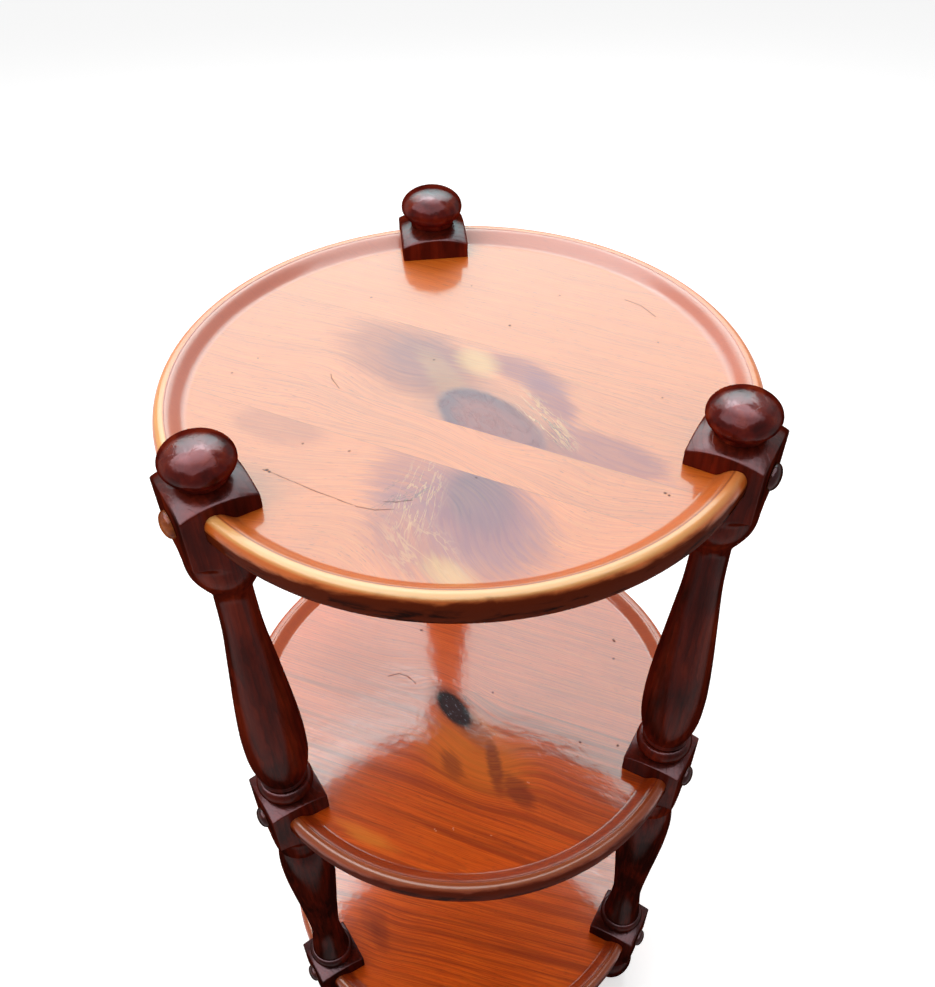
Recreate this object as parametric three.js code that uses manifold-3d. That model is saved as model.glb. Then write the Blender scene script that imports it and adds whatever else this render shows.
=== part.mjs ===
// Three-tier etagere table: three round dished shelves held by three turned posts.
// Units are millimetres, +Z is up and the floor is at zero.
import * as THREE from "three";
import { mergeVertices } from "three/addons/utils/BufferGeometryUtils.js";
import Module from "manifold-3d";

const wasm = await Module();
wasm.setup();

// Overall
const clearance = 0.3;
const overrun = 4;
const weldGap = 1e-4;
const tierPitch = 320;
const tierNames = ["bottom", "middle", "top"];

// Shelf: one glued-up board, turned to a tray with a raised bead round a coved rim
const shelf = {
  radius: 185,
  thickness: 22,
  recess: 7.5,
  crestWidth: 5,
  crestDrop: 1.2,
  coveWidth: 11,
  upperEdgeHeight: 9,
  upperEdgeReach: 3.2,
  lowerEdgeHeight: 9.5,
  lowerEdgeReach: 7,
  sides: 56,
  edgeSteps: 3,
  crestSteps: 2,
  coveSteps: 3,
};

// Post: one square blank, turned between its blocks
const post = {
  axisInsideRim: 14,
  blank: 46,
  sides: 16,
};

// Square block that grips each shelf's edge, measured down from the shelf's rim
const block = {
  squareBelowRim: 34,
  sweepDrop: 12,
  roundRadius: 23,
  domeSteps: 2,
  sweepSteps: 2,
};
const topDome = { cornerAboveRim: 2, crown: 9, seatRadius: 15.5 };
const lowerDome = { cornerAboveRim: 8.3, crown: 6.4, seatRadius: 18 };

// Turned lengths
const vase = { neckRadius: 12.2, bellyRadius: 22.8, steps: 8 };
const baluster = { neckRadius: 13.6, bellyRadius: 22.4, steps: 8 };
const cup = { height: 34, steps: 4 };
const shortCup = { height: 27, grooveRadius: 18.5, steps: 3 };
const foot = { height: 45, bellyRadius: 22.4, padRadius: 13.5, steps: 5 };

// Turned rings that stand on a lower block's dome
const smallRing = { radius: 17.9, height: 4.5, waistRadius: 16.6 };
const largeRing = { radius: 21.6, height: 13, grooveRadius: 17.6, steps: 3 };
const seatRing = { radius: 20.9, height: 13, grooveRadius: 17.6, steps: 3 };
const quirk = { height: 3 };

// Finial: a flattened ball on a short neck, with a dowel turned on its underside
const finial = {
  ballRadius: 21.3,
  ballHalfHeight: 12.2,
  ballAboveRim: 20.7,
  neckRadius: 15,
  dowelRadius: 5,
  dowelLength: 9,
  sides: 16,
  ballSteps: 6,
};

// Screw through the block into the shelf's edge
const screw = {
  headRadius: 3.9,
  headHeight: 2.4,
  driveRadius: 1.6,
  driveDepth: 1.4,
  shankRadius: 2.1,
  shankLength: 36,
  tipLength: 4,
  sides: 8,
};
const counterbore = { radius: 5, depth: 6 };

// Wooden button that covers the screw
const button = { radius: 8.3, height: 5.6, lip: 1.2, stemRadius: 4.6, stemLength: 2.2, sides: 10, steps: 2 };

// Where the posts stand, and how far each block is turned from square to the rim
const postPlaces = [
  { name: "left", azimuthDegrees: -150, turnDegrees: -5 },
  { name: "right", azimuthDegrees: -30, turnDegrees: -6 },
  { name: "back", azimuthDegrees: 90, turnDegrees: 0 },
];

// Turned outlines: share of the length from its upper end, share of the swell from neck to belly
const vaseShares = [
  [0, 0], [0.17, 0.09], [0.33, 0.36], [0.56, 0.77], [0.71, 0.97], [0.79, 1], [0.87, 0.96], [0.94, 0.77], [1, 0.43],
];
const balusterShares = [
  [0, 0.56], [0.05, 0.84], [0.135, 1], [0.27, 0.91], [0.41, 0.65], [0.56, 0.33], [0.765, 0], [0.9, 0.2], [1, 0.45],
];
const cupShares = [[0, 1], [0.2, 0.98], [0.38, 0.87], [0.6, 0.56], [0.82, 0.19], [1, 0]];
const shortCupShares = [[0, 1], [0.25, 0.92], [0.75, 0.66], [1, 0]];
const footShares = [[0, 0.55], [0.12, 0.86], [0.34, 1], [0.62, 0.8], [0.88, 0.3], [1, 0]];

// Heights worked out from the sizes above
const halfBlank = post.blank / 2;
const postCircleRadius = shelf.radius - post.axisInsideRim;
const cornerRadius = halfBlank * Math.SQRT2;
const latheReach = cornerRadius + overrun;
const bottomRimHeight = foot.height + shortCup.height + block.sweepDrop + block.squareBelowRim;
const rimHeights = tierNames.map((name, tier) => bottomRimHeight + tier * tierPitch);
const fieldDepth = (shelf.recess + shelf.thickness) / 2;
const buttonReach = postCircleRadius + halfBlank + clearance + button.height;
const centreShift = (buttonReach - shelf.radius) / 2;

const finishes = {
  shelf: { color: 0xb45a1e, roughness: 0.22, metalness: 0 },
  post: { color: 0x431a12, roughness: 0.3, metalness: 0 },
  finial: { color: 0x6b2417, roughness: 0.2, metalness: 0 },
  button: { color: 0x57281a, roughness: 0.28, metalness: 0 },
  screw: { color: 0xb08d4a, roughness: 0.4, metalness: 1 },
};

// Point on a lathe outline: distance from the axis, height
function at(radius, height) {
  return new THREE.Vector2(radius, height);
}

// Part of an ellipse, from one angle to another, in degrees from the outward direction
function arc(centre, reach, rise, fromDegrees, toDegrees, steps) {
  const points = [];
  for (let step = 0; step <= steps; step += 1) {
    const angle = THREE.MathUtils.degToRad(fromDegrees + ((toDegrees - fromDegrees) * step) / steps);
    points.push(at(centre.x + reach * Math.cos(angle), centre.y + rise * Math.sin(angle)));
  }
  return points;
}

// A smooth turned length that hangs down from a height, through points given as shares
function turnedLength(shares, top, length, slim, full, steps) {
  const knots = shares.map(([along, swell]) => at(slim + (full - slim) * swell, top - length * along));
  return new THREE.SplineCurve(knots).getPoints(steps);
}

// Revolve an outline that runs from the axis to the axis, from the top down
function turned(outline, sides) {
  return new THREE.LatheGeometry([...outline].reverse(), sides).rotateX(Math.PI / 2);
}

function toManifold(geometry) {
  const bare = geometry.clone();
  bare.deleteAttribute("normal");
  bare.deleteAttribute("uv");
  const merged = mergeVertices(bare, weldGap);
  const mesh = new wasm.Mesh({
    numProp: 3,
    vertProperties: new Float32Array(merged.attributes.position.array),
    triVerts: new Uint32Array(merged.index.array),
  });
  mesh.merge();
  return new wasm.Manifold(mesh);
}

function toGeometry(manifold) {
  const mesh = manifold.getMesh();
  const geometry = new THREE.BufferGeometry();
  geometry.setAttribute("position", new THREE.BufferAttribute(new Float32Array(mesh.vertProperties), 3));
  geometry.setIndex(new THREE.BufferAttribute(new Uint32Array(mesh.triVerts), 1));
  geometry.computeVertexNormals();
  return geometry;
}

function cutAll(solid, cutters) {
  return cutters.reduce((rest, cutter) => rest.subtract(toManifold(cutter)), solid);
}

// Shelf outline from the centre of the field to the centre of the underside, grown by a gap.
// The rim is at height zero.
function shelfOutline(gap) {
  const radius = shelf.radius + gap;
  const crestOuter = at(radius - shelf.upperEdgeReach, gap - shelf.crestDrop);
  const crestInner = at(crestOuter.x - shelf.crestWidth - gap - gap, crestOuter.y);
  const upperEdge = arc(
    at(crestOuter.x, -shelf.upperEdgeHeight),
    shelf.upperEdgeReach, crestOuter.y + shelf.upperEdgeHeight, 90, 0, shelf.edgeSteps,
  );
  const lowerTop = shelf.lowerEdgeHeight - shelf.thickness - gap;
  const lowerEdge = arc(
    at(radius - shelf.lowerEdgeReach, lowerTop),
    shelf.lowerEdgeReach, shelf.lowerEdgeHeight, 0, -90, shelf.edgeSteps,
  );
  const crest = arc(
    at((crestOuter.x + crestInner.x) / 2, crestOuter.y),
    (crestOuter.x - crestInner.x) / 2, shelf.crestDrop, 180, 0, shelf.crestSteps,
  );
  const coveRise = crestOuter.y + shelf.recess - gap;
  const cove = arc(
    at(crestInner.x - shelf.coveWidth, crestInner.y),
    shelf.coveWidth, coveRise, -90, 0, shelf.coveSteps,
  );
  return [
    at(0, gap - shelf.recess),
    ...cove,
    ...crest.slice(1),
    ...upperEdge.slice(1),
    ...lowerEdge,
    at(0, -shelf.thickness - gap),
  ];
}

// Turned column of one post, from the seat under the finial to the floor
function columnOutline() {
  const outline = [];
  [...rimHeights].reverse().forEach((rim, down) => {
    const isTop = down === 0;
    const isBottom = down === rimHeights.length - 1;
    const dome = isTop ? topDome : lowerDome;
    const domeFoot = rim + dome.cornerAboveRim;
    const domeRise = (radius) => domeFoot + dome.crown * (1 - (radius / cornerRadius) ** 2);
    if (isTop) {
      outline.push(at(0, domeRise(dome.seatRadius)));
    }
    for (let step = 0; step <= block.domeSteps; step += 1) {
      const radius = dome.seatRadius + ((latheReach - dome.seatRadius) * step) / block.domeSteps;
      outline.push(at(radius, domeRise(radius)));
    }
    const squareFoot = rim - block.squareBelowRim;
    outline.push(...arc(
      at(latheReach, squareFoot - block.sweepDrop),
      latheReach - block.roundRadius, block.sweepDrop, 90, 180, block.sweepSteps,
    ));
    const roundTop = squareFoot - block.sweepDrop;
    if (isTop) {
      const cupFoot = roundTop - cup.height;
      outline.push(...turnedLength(
        cupShares, roundTop, cup.height, vase.neckRadius, block.roundRadius, cup.steps,
      ).slice(1));
      outline.push(...vaseAndRings(cupFoot, rim - tierPitch).slice(1));
      return;
    }
    const cupFoot = roundTop - shortCup.height;
    outline.push(...turnedLength(
      shortCupShares, roundTop, shortCup.height, shortCup.grooveRadius, block.roundRadius, shortCup.steps,
    ).slice(1));
    if (isBottom) {
      outline.push(...turnedLength(
        footShares, cupFoot, foot.height, foot.padRadius, foot.bellyRadius, foot.steps,
      ).slice(1));
      return;
    }
    outline.push(...balusterAndRing(cupFoot, rim - tierPitch).slice(1));
  });
  outline.push(at(0, 0));
  return outline;
}

// Height of a lower block's dome where its ring stands
function lowerDomeSeat(rim) {
  const seatShare = lowerDome.seatRadius / cornerRadius;
  return rim + lowerDome.cornerAboveRim + lowerDome.crown * (1 - seatShare ** 2);
}

// A rounded ring whose lower end is at a height
function ring(size, foot) {
  return arc(at(size.grooveRadius, foot + size.height / 2), size.radius - size.grooveRadius,
    size.height / 2, 90, -90, size.steps);
}

// Vase with its belly low down, then a small ring and a large one on the block below
function vaseAndRings(top, rimBelow) {
  const seat = lowerDomeSeat(rimBelow);
  const largeFoot = seat + quirk.height;
  const smallFoot = largeFoot + largeRing.height;
  const waist = smallFoot + smallRing.height;
  return [
    ...turnedLength(vaseShares, top, top - waist, vase.neckRadius, vase.bellyRadius, vase.steps),
    at(smallRing.radius, waist - smallRing.height / 2),
    at(smallRing.waistRadius, smallFoot),
    ...ring(largeRing, largeFoot),
  ];
}

// Baluster with its belly high up, flaring at its foot to one ring on the block below
function balusterAndRing(top, rimBelow) {
  const ringFoot = lowerDomeSeat(rimBelow) + quirk.height;
  const flareFoot = ringFoot + seatRing.height;
  return [
    ...turnedLength(
      balusterShares, top, top - flareFoot, baluster.neckRadius, baluster.bellyRadius, baluster.steps,
    ),
    ...ring(seatRing, ringFoot),
  ];
}

// Place and turn of one post, as a group that its pieces sit in
function postGroup({ azimuthDegrees, turnDegrees }) {
  const azimuth = THREE.MathUtils.degToRad(azimuthDegrees);
  const group = new THREE.Group();
  group.position.set(postCircleRadius * Math.cos(azimuth), postCircleRadius * Math.sin(azimuth), 0);
  group.rotation.z = azimuth + THREE.MathUtils.degToRad(turnDegrees);
  group.updateMatrixWorld();
  return group;
}

// Round cutter or pin that lies along +X and ends at a distance from the post's axis
function lyingCylinder(radius, from, to, sides) {
  return new THREE.CylinderGeometry(radius, radius, to - from, sides)
    .rotateZ(Math.PI / 2)
    .translate((from + to) / 2, 0, 0);
}

// The screw's seat and tip, measured from the post's axis
const seatReach = halfBlank - counterbore.depth;
const tipReach = seatReach - screw.shankLength;

function finialSeatHeight() {
  const seatShare = topDome.seatRadius / cornerRadius;
  return rimHeights[rimHeights.length - 1] + topDome.cornerAboveRim + topDome.crown * (1 - seatShare ** 2);
}

function buildPost(group) {
  const column = toManifold(turned(columnOutline(), post.sides));
  const height = finialSeatHeight() + overrun;
  const blank = new THREE.BoxGeometry(post.blank, post.blank, height + overrun)
    .translate(0, 0, (height - overrun) / 2);
  const intoPost = group.matrixWorld.clone().invert();
  const cutters = [];
  rimHeights.forEach((rim) => {
    cutters.push(turned(shelfOutline(clearance), shelf.sides).translate(0, 0, rim).applyMatrix4(intoPost));
    const boreHeight = rim - fieldDepth;
    cutters.push(lyingCylinder(screw.shankRadius + clearance, 0, halfBlank, screw.sides)
      .translate(0, 0, boreHeight));
    cutters.push(lyingCylinder(counterbore.radius, seatReach, halfBlank + overrun, button.sides)
      .translate(0, 0, boreHeight));
  });
  const socketDepth = finial.dowelLength + clearance;
  cutters.push(new THREE.CylinderGeometry(
    finial.dowelRadius + clearance, finial.dowelRadius + clearance, socketDepth + overrun, button.sides,
  ).rotateX(Math.PI / 2).translate(0, 0, finialSeatHeight() + (overrun - socketDepth) / 2));
  return toGeometry(cutAll(column.intersect(toManifold(blank)), cutters));
}

function buildShelf(rim, groups) {
  const tray = toManifold(turned(shelfOutline(0), shelf.sides));
  const bores = groups.map((group) => lyingCylinder(
    screw.shankRadius + clearance, tipReach - clearance, halfBlank, screw.sides,
  ).translate(0, 0, -fieldDepth).applyMatrix4(group.matrixWorld));
  return toGeometry(cutAll(tray, bores));
}

function buildFinial() {
  const seat = finialSeatHeight() + clearance;
  const ballCentre = rimHeights[rimHeights.length - 1] + finial.ballAboveRim;
  const neckDegrees = THREE.MathUtils.radToDeg(Math.acos(finial.neckRadius / finial.ballRadius));
  const dowelFoot = seat - finial.dowelLength;
  const outline = [
    ...arc(at(0, ballCentre), finial.ballRadius, finial.ballHalfHeight, 90, -neckDegrees, finial.ballSteps),
    at(finial.neckRadius, seat),
    at(finial.dowelRadius, seat),
    at(finial.dowelRadius, dowelFoot),
    at(0, dowelFoot),
  ];
  outline[0].x = 0;
  return turned(outline, finial.sides);
}

// Screw and button are turned about +Z and then laid along +X, their outer end outwards
function buildScrew() {
  const outline = [
    at(0, screw.headHeight - screw.driveDepth),
    at(screw.driveRadius, screw.headHeight - screw.driveDepth),
    at(screw.driveRadius, screw.headHeight),
    at(screw.headRadius, screw.headHeight / 2),
    at(screw.headRadius, clearance),
    at(screw.shankRadius, clearance),
    at(screw.shankRadius, screw.tipLength - screw.shankLength),
    at(0, -screw.shankLength),
  ];
  return turned(outline, screw.sides).rotateY(Math.PI / 2).translate(seatReach, 0, 0);
}

function buildButton() {
  const outline = [
    ...arc(at(0, button.lip), button.radius, button.height - button.lip, 90, 0, button.steps),
    at(button.radius, 0),
    at(button.stemRadius, 0),
    at(button.stemRadius, -button.stemLength),
    at(0, -button.stemLength),
  ];
  outline[0].x = 0;
  return turned(outline, button.sides).rotateY(Math.PI / 2).translate(halfBlank + clearance, 0, 0);
}

function named(name, geometry, finish) {
  const mesh = new THREE.Mesh(geometry, new THREE.MeshStandardMaterial(finish));
  mesh.name = name;
  return mesh;
}

// Assembly, with its origin under the middle of its outline
const table = new THREE.Group();
const groups = postPlaces.map(postGroup);

rimHeights.forEach((rim, tier) => {
  const tray = named(`shelf_${tierNames[tier]}`, buildShelf(rim, groups), finishes.shelf);
  tray.position.z = rim;
  table.add(tray);
});

postPlaces.forEach(({ name }, index) => {
  const group = groups[index];
  group.add(named(`post_${name}`, buildPost(group), finishes.post));
  group.add(named(`finial_${name}`, buildFinial(), finishes.finial));
  rimHeights.forEach((rim, tier) => {
    const fixing = new THREE.Group();
    fixing.position.z = rim - fieldDepth;
    fixing.add(named(`screw_${name}_${tierNames[tier]}`, buildScrew(), finishes.screw));
    fixing.add(named(`button_${name}_${tierNames[tier]}`, buildButton(), finishes.button));
    group.add(fixing);
  });
  table.add(group);
});
table.position.y = -centreShift;

export default table;
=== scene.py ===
"""Round three-tier etagere table of stained and lacquered pine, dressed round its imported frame.

Everything is in metres, +Z is up and the floor is at zero, as in the frame.
"""

import logging
import math
from dataclasses import dataclass
from enum import Enum

import bmesh
import bpy
from mathutils import Matrix, Vector

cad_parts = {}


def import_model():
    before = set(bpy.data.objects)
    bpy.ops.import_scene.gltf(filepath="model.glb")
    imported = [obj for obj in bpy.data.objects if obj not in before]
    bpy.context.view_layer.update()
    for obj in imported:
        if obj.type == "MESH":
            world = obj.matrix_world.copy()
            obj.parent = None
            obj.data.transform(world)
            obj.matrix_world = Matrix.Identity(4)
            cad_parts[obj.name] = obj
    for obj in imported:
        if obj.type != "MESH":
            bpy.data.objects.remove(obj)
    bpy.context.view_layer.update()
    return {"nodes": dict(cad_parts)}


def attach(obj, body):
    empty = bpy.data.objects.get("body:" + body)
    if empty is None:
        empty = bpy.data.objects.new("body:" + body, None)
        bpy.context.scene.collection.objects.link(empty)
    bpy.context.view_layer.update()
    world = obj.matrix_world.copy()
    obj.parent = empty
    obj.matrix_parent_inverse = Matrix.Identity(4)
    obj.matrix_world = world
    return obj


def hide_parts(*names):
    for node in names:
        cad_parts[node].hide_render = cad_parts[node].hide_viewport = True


LOG = logging.getLogger("etagere")

Outline = list[tuple[float, float]]
Shares = tuple[tuple[float, float], ...]
Colour = tuple[float, float, float]
Scale = tuple[float, float, float]
Socket = bpy.types.NodeSocket
Feed = Socket | float | tuple[float, ...] | None

FAR = 999.0  # beyond any shelf, in millimetres
TINY = 1e-6  # keeps a division safe
BORE_SIDES = 24  # of each round cutter


class Tier(Enum):
    """The three shelves, from the floor up, with the height of each rim."""

    BOTTOM = 0.118
    MIDDLE = 0.438
    TOP = 0.758

    @property
    def word(self) -> str:
        """The tier's name as the frame's nodes write it."""
        return self.name.lower()

    @property
    def rim(self) -> float:
        """Height of the shelf's rim above the floor."""
        return self.value


class Place(Enum):
    """Where a post stands: degrees round the shelves, and its turn out of square."""

    LEFT = (-150.0, -5.0)
    RIGHT = (-30.0, -6.0)
    BACK = (90.0, 0.0)

    @property
    def word(self) -> str:
        """The post's name as the frame's nodes write it."""
        return self.name.lower()

    @property
    def azimuth(self) -> float:
        """Direction from the shelves' axis to the post, in radians."""
        return math.radians(self.value[0])

    @property
    def facing(self) -> float:
        """Direction that the block's outer face looks, in radians."""
        return math.radians(self.value[0] + self.value[1])


# Colours and outlines


def srgb(red: int, green: int, blue: int) -> Colour:
    """Turn a colour written as it looks on a screen into shader values.

    Args:
        red: Red, 0 to 255.
        green: Green, 0 to 255.
        blue: Blue, 0 to 255.

    Returns:
        The linear colour.
    """
    out = []
    for level in (red, green, blue):
        share = level / 255
        out.append(share / 12.92 if share <= 0.04045 else ((share + 0.055) / 1.055) ** 2.4)
    return (out[0], out[1], out[2])


def ellipse_arc(
    centre: tuple[float, float], reach: float, rise: float, start: float, end: float, steps: int
) -> Outline:
    """Walk along part of an ellipse.

    Args:
        centre: Distance from the axis and height of the middle.
        reach: Half width.
        rise: Half height.
        start: First angle in degrees, from the outward direction.
        end: Last angle in degrees.
        steps: Number of steps.

    Returns:
        The points, both ends included.
    """
    points = []
    for step in range(steps + 1):
        angle = math.radians(start + (end - start) * step / steps)
        points.append((centre[0] + reach * math.cos(angle), centre[1] + rise * math.sin(angle)))
    return points


def straight(start: tuple[float, float], end: tuple[float, float], steps: int) -> Outline:
    """Walk along a straight line.

    Args:
        start: First point.
        end: Last point.
        steps: Number of steps.

    Returns:
        The points, both ends included.
    """
    return [
        (start[0] + (end[0] - start[0]) * s / steps, start[1] + (end[1] - start[1]) * s / steps)
        for s in range(steps + 1)
    ]


def turned_length(
    shares: Shares, top: float, length: float, slim: float, full: float, steps: int
) -> Outline:
    """Draw a smooth turned length through points given as shares.

    Args:
        shares: Share of the length from its upper end, and share of the swell from slim to full.
        top: Height of the upper end.
        length: How far it hangs down.
        slim: Radius where the swell share is zero.
        full: Radius where the swell share is one.
        steps: Number of steps.

    Returns:
        The points from the top down.
    """
    knots = [(slim + (full - slim) * swell, top - length * along) for along, swell in shares]
    last = len(knots) - 1
    points = []
    for step in range(steps + 1):
        place = last * step / steps
        index = min(int(place), last - 1)
        share = place - index
        around = [
            knots[max(index - 1, 0)],
            knots[index],
            knots[index + 1],
            knots[last if index > last - 2 else index + 2],
        ]
        points.append(tuple(catmull(share, *(k[axis] for k in around)) for axis in (0, 1)))
    return points


def catmull(share: float, before: float, start: float, end: float, after: float) -> float:
    """Blend four values as a smooth spline does.

    Args:
        share: How far between start and end.
        before: Value before the start.
        start: Value at share zero.
        end: Value at share one.
        after: Value after the end.

    Returns:
        The blended value.
    """
    lead = (end - before) * 0.5
    trail = (after - start) * 0.5
    square = share * share
    return (
        (2 * start - 2 * end + lead + trail) * square * share
        + (-3 * start + 3 * end - 2 * lead - trail) * square
        + lead * share
        + start
    )


def soft_least(first: float, second: float, blend: float) -> float:
    """Take the lesser of two lengths, with the corner between them eased.

    Args:
        first: One length.
        second: The other length.
        blend: Width of the eased corner.

    Returns:
        The eased lesser length.
    """
    share = min(max(0.5 + 0.5 * (second - first) / blend, 0.0), 1.0)
    return second + (first - second) * share - blend * share * (1 - share)


# Meshes


def ring_mesh(name: str, rings: list[list[Vector]], top: Vector, foot: Vector) -> bpy.types.Mesh:
    """Skin a stack of rings and close it with a point at each end.

    Args:
        name: Name of the mesh.
        rings: Rings from the top down, all with as many points.
        top: Point that closes the top.
        foot: Point that closes the foot.

    Returns:
        The closed mesh, its faces looking out.
    """
    made = bmesh.new()
    rows = [[made.verts.new(point) for point in ring] for ring in rings]
    cap, base = made.verts.new(top), made.verts.new(foot)
    count = len(rings[0])
    for side in range(count):
        after = (side + 1) % count
        made.faces.new((cap, rows[0][side], rows[0][after]))
        made.faces.new((base, rows[-1][after], rows[-1][side]))
        for upper, lower in zip(rows, rows[1:]):
            made.faces.new((upper[side], lower[side], lower[after], upper[after]))
    made.normal_update()
    mesh = bpy.data.meshes.new(name)
    made.to_mesh(mesh)
    made.free()
    return mesh


def turned_mesh(name: str, outline: Outline, sides: int) -> bpy.types.Mesh:
    """Turn an outline about the vertical axis.

    Args:
        name: Name of the mesh.
        outline: Distance from the axis and height, from the top down, ends on the axis.
        sides: Number of sides.

    Returns:
        The closed mesh.
    """
    rings = []
    for radius, height in outline[1:-1]:
        ring = []
        for side in range(sides):
            angle = math.tau * side / sides
            ring.append(Vector((radius * math.cos(angle), radius * math.sin(angle), height)))
        rings.append(ring)
    return ring_mesh(name, rings, Vector((0, 0, outline[0][1])), Vector((0, 0, outline[-1][1])))


def smooth(mesh: bpy.types.Mesh, crease: float = 38.0) -> None:
    """Shade a mesh smooth, with its creases kept crisp.

    Args:
        mesh: The mesh.
        crease: Angle in degrees above which an edge stays sharp.
    """
    mesh.shade_smooth()
    mesh.set_sharp_from_angle(angle=math.radians(crease))


def cut(piece: bpy.types.Object, cutters: list[bpy.types.Object]) -> None:
    """Cut shapes out of a piece and throw the cutters away.

    Args:
        piece: The piece to cut.
        cutters: Closed shapes.
    """
    for cutter in cutters:
        change = piece.modifiers.new("cut", "BOOLEAN")
        change.operation = "DIFFERENCE"
        change.solver = "MANIFOLD"
        change.object = cutter
    bpy.context.view_layer.update()
    graph = bpy.context.evaluated_depsgraph_get()
    mesh = bpy.data.meshes.new_from_object(piece.evaluated_get(graph))
    piece.modifiers.clear()
    old = piece.data
    mesh.materials.clear()
    piece.data = mesh
    bpy.data.meshes.remove(old)
    mesh.name = piece.name
    for cutter in cutters:
        shape = cutter.data
        bpy.data.objects.remove(cutter)
        bpy.data.meshes.remove(shape)


def place_object(name: str, mesh: bpy.types.Mesh, matrix: Matrix) -> bpy.types.Object:
    """Put a mesh in the scene.

    Args:
        name: Name of the object.
        mesh: Its mesh.
        matrix: Where it goes.

    Returns:
        The object.
    """
    made = bpy.data.objects.new(name, mesh)
    made.matrix_world = matrix
    bpy.context.scene.collection.objects.link(made)
    return made


# Shader nodes


class ShadeSheet:
    """Node tree of a finish or of the surroundings, with short calls for the nodes they share."""

    def __init__(self, owner: bpy.types.Material | bpy.types.World) -> None:
        """Start with an empty tree.

        Args:
            owner: The new material or world that the tree belongs to.
        """
        self.owner = owner
        self.owner.use_nodes = True
        self.tree = owner.node_tree
        self.tree.nodes.clear()

    def add(self, kind: str, **settings: object) -> bpy.types.Node:
        """Add a node.

        Args:
            kind: The node's type without its ShaderNode prefix.
            settings: Properties to set on the node.

        Returns:
            The node.
        """
        node = self.tree.nodes.new("ShaderNode" + kind)
        for key, value in settings.items():
            setattr(node, key, value)
        return node

    def feed(self, socket: Socket, value: Feed) -> None:
        """Give a socket a link or a plain value.

        Args:
            socket: The input.
            value: An output socket, a number or a tuple.
        """
        if isinstance(value, Socket):
            self.tree.links.new(value, socket)
        elif value is not None:
            socket.default_value = value

    def math(self, operation: str, *values: Feed, clamp: bool = False) -> Socket:
        """Work out a number.

        Args:
            operation: Name of the sum.
            values: Up to three links or numbers.
            clamp: Keep the answer from 0 to 1.

        Returns:
            The answer.
        """
        node = self.add("Math", operation=operation, use_clamp=clamp)
        for socket, value in zip(node.inputs, values):
            self.feed(socket, value)
        return node.outputs[0]

    def vectors(self, operation: str, *values: Feed) -> Socket:
        """Work with points.

        Args:
            operation: Name of the sum.
            values: Up to three links or points.

        Returns:
            The point, or the number where the answer is one.
        """
        node = self.add("VectorMath", operation=operation)
        for socket, value in zip(node.inputs, values):
            self.feed(socket, value)
        return node.outputs["Value" if operation in ("LENGTH", "DOT_PRODUCT") else "Vector"]

    def ease(self, value: Feed, low: float, high: float) -> Socket:
        """Rise smoothly from 0 to 1 between two values; the other way round if low is over high.

        Args:
            value: What is measured.
            low: Where it is 0.
            high: Where it is 1.

        Returns:
            The share.
        """
        node = self.add("MapRange", interpolation_type="SMOOTHSTEP", clamp=True)
        self.feed(node.inputs["Value"], value)
        limits = (low, high, 0.0, 1.0) if low <= high else (high, low, 1.0, 0.0)
        for key, limit in zip(("From Min", "From Max", "To Min", "To Max"), limits):
            node.inputs[key].default_value = limit
        return node.outputs[0]

    def spread(self, value: Feed, low: float, high: float) -> Socket:
        """Stretch a share of 0 to 1 over a range.

        Args:
            value: The share.
            low: What 0 becomes.
            high: What 1 becomes.

        Returns:
            The stretched value.
        """
        return self.math("MULTIPLY_ADD", value, high - low, low)

    def vector(self, x: Feed, y: Feed, z: Feed) -> Socket:
        """Join three numbers into a point.

        Args:
            x: First number.
            y: Second number.
            z: Third number.

        Returns:
            The point.
        """
        node = self.add("CombineXYZ")
        for socket, value in zip(node.inputs, (x, y, z)):
            self.feed(socket, value)
        return node.outputs[0]

    def parts(self, point: Socket) -> list[Socket]:
        """Split a point into its three numbers.

        Args:
            point: The point.

        Returns:
            The three numbers.
        """
        node = self.add("SeparateXYZ")
        self.feed(node.inputs[0], point)
        return list(node.outputs)

    def local_point(self, turn: float = 0.0) -> Socket:
        """Find the point on the piece, in millimetres, turned about the vertical.

        Args:
            turn: Degrees.

        Returns:
            The point.
        """
        where = self.add("TexCoord")
        node = self.add("Mapping")
        self.feed(node.inputs["Vector"], where.outputs["Object"])
        node.inputs["Rotation"].default_value = (0.0, 0.0, math.radians(turn))
        node.inputs["Scale"].default_value = (1000.0, 1000.0, 1000.0)
        return node.outputs[0]

    def stretched(
        self,
        point: Socket,
        scale: tuple[float, float, float],
        shift: float = 0.0,
    ) -> Socket:
        """Scale a point, each way by its own amount.

        Args:
            point: The point.
            scale: The three scales.
            shift: Added to the first number, so that two noises differ.

        Returns:
            The scaled point.
        """
        node = self.add("Mapping")
        self.feed(node.inputs["Vector"], point)
        node.inputs["Scale"].default_value = scale
        node.inputs["Location"].default_value = (shift, 0.0, 0.0)
        return node.outputs[0]

    def noise(
        self, point: Feed, detail: float = 2.0, rough: float = 0.5, warp: float = 0.0
    ) -> Socket:
        """Cloudy noise of one unit's size.

        Args:
            point: Where it is read.
            detail: Octaves.
            rough: Strength of each finer octave.
            warp: Distortion.

        Returns:
            The level, about 0.5 on average.
        """
        node = self.add("TexNoise", noise_dimensions="3D")
        self.feed(node.inputs["Vector"], point)
        levels = {"Scale": 1.0, "Detail": detail, "Roughness": rough, "Distortion": warp}
        for key, value in levels.items():
            node.inputs[key].default_value = value
        return node.outputs[0]

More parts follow.
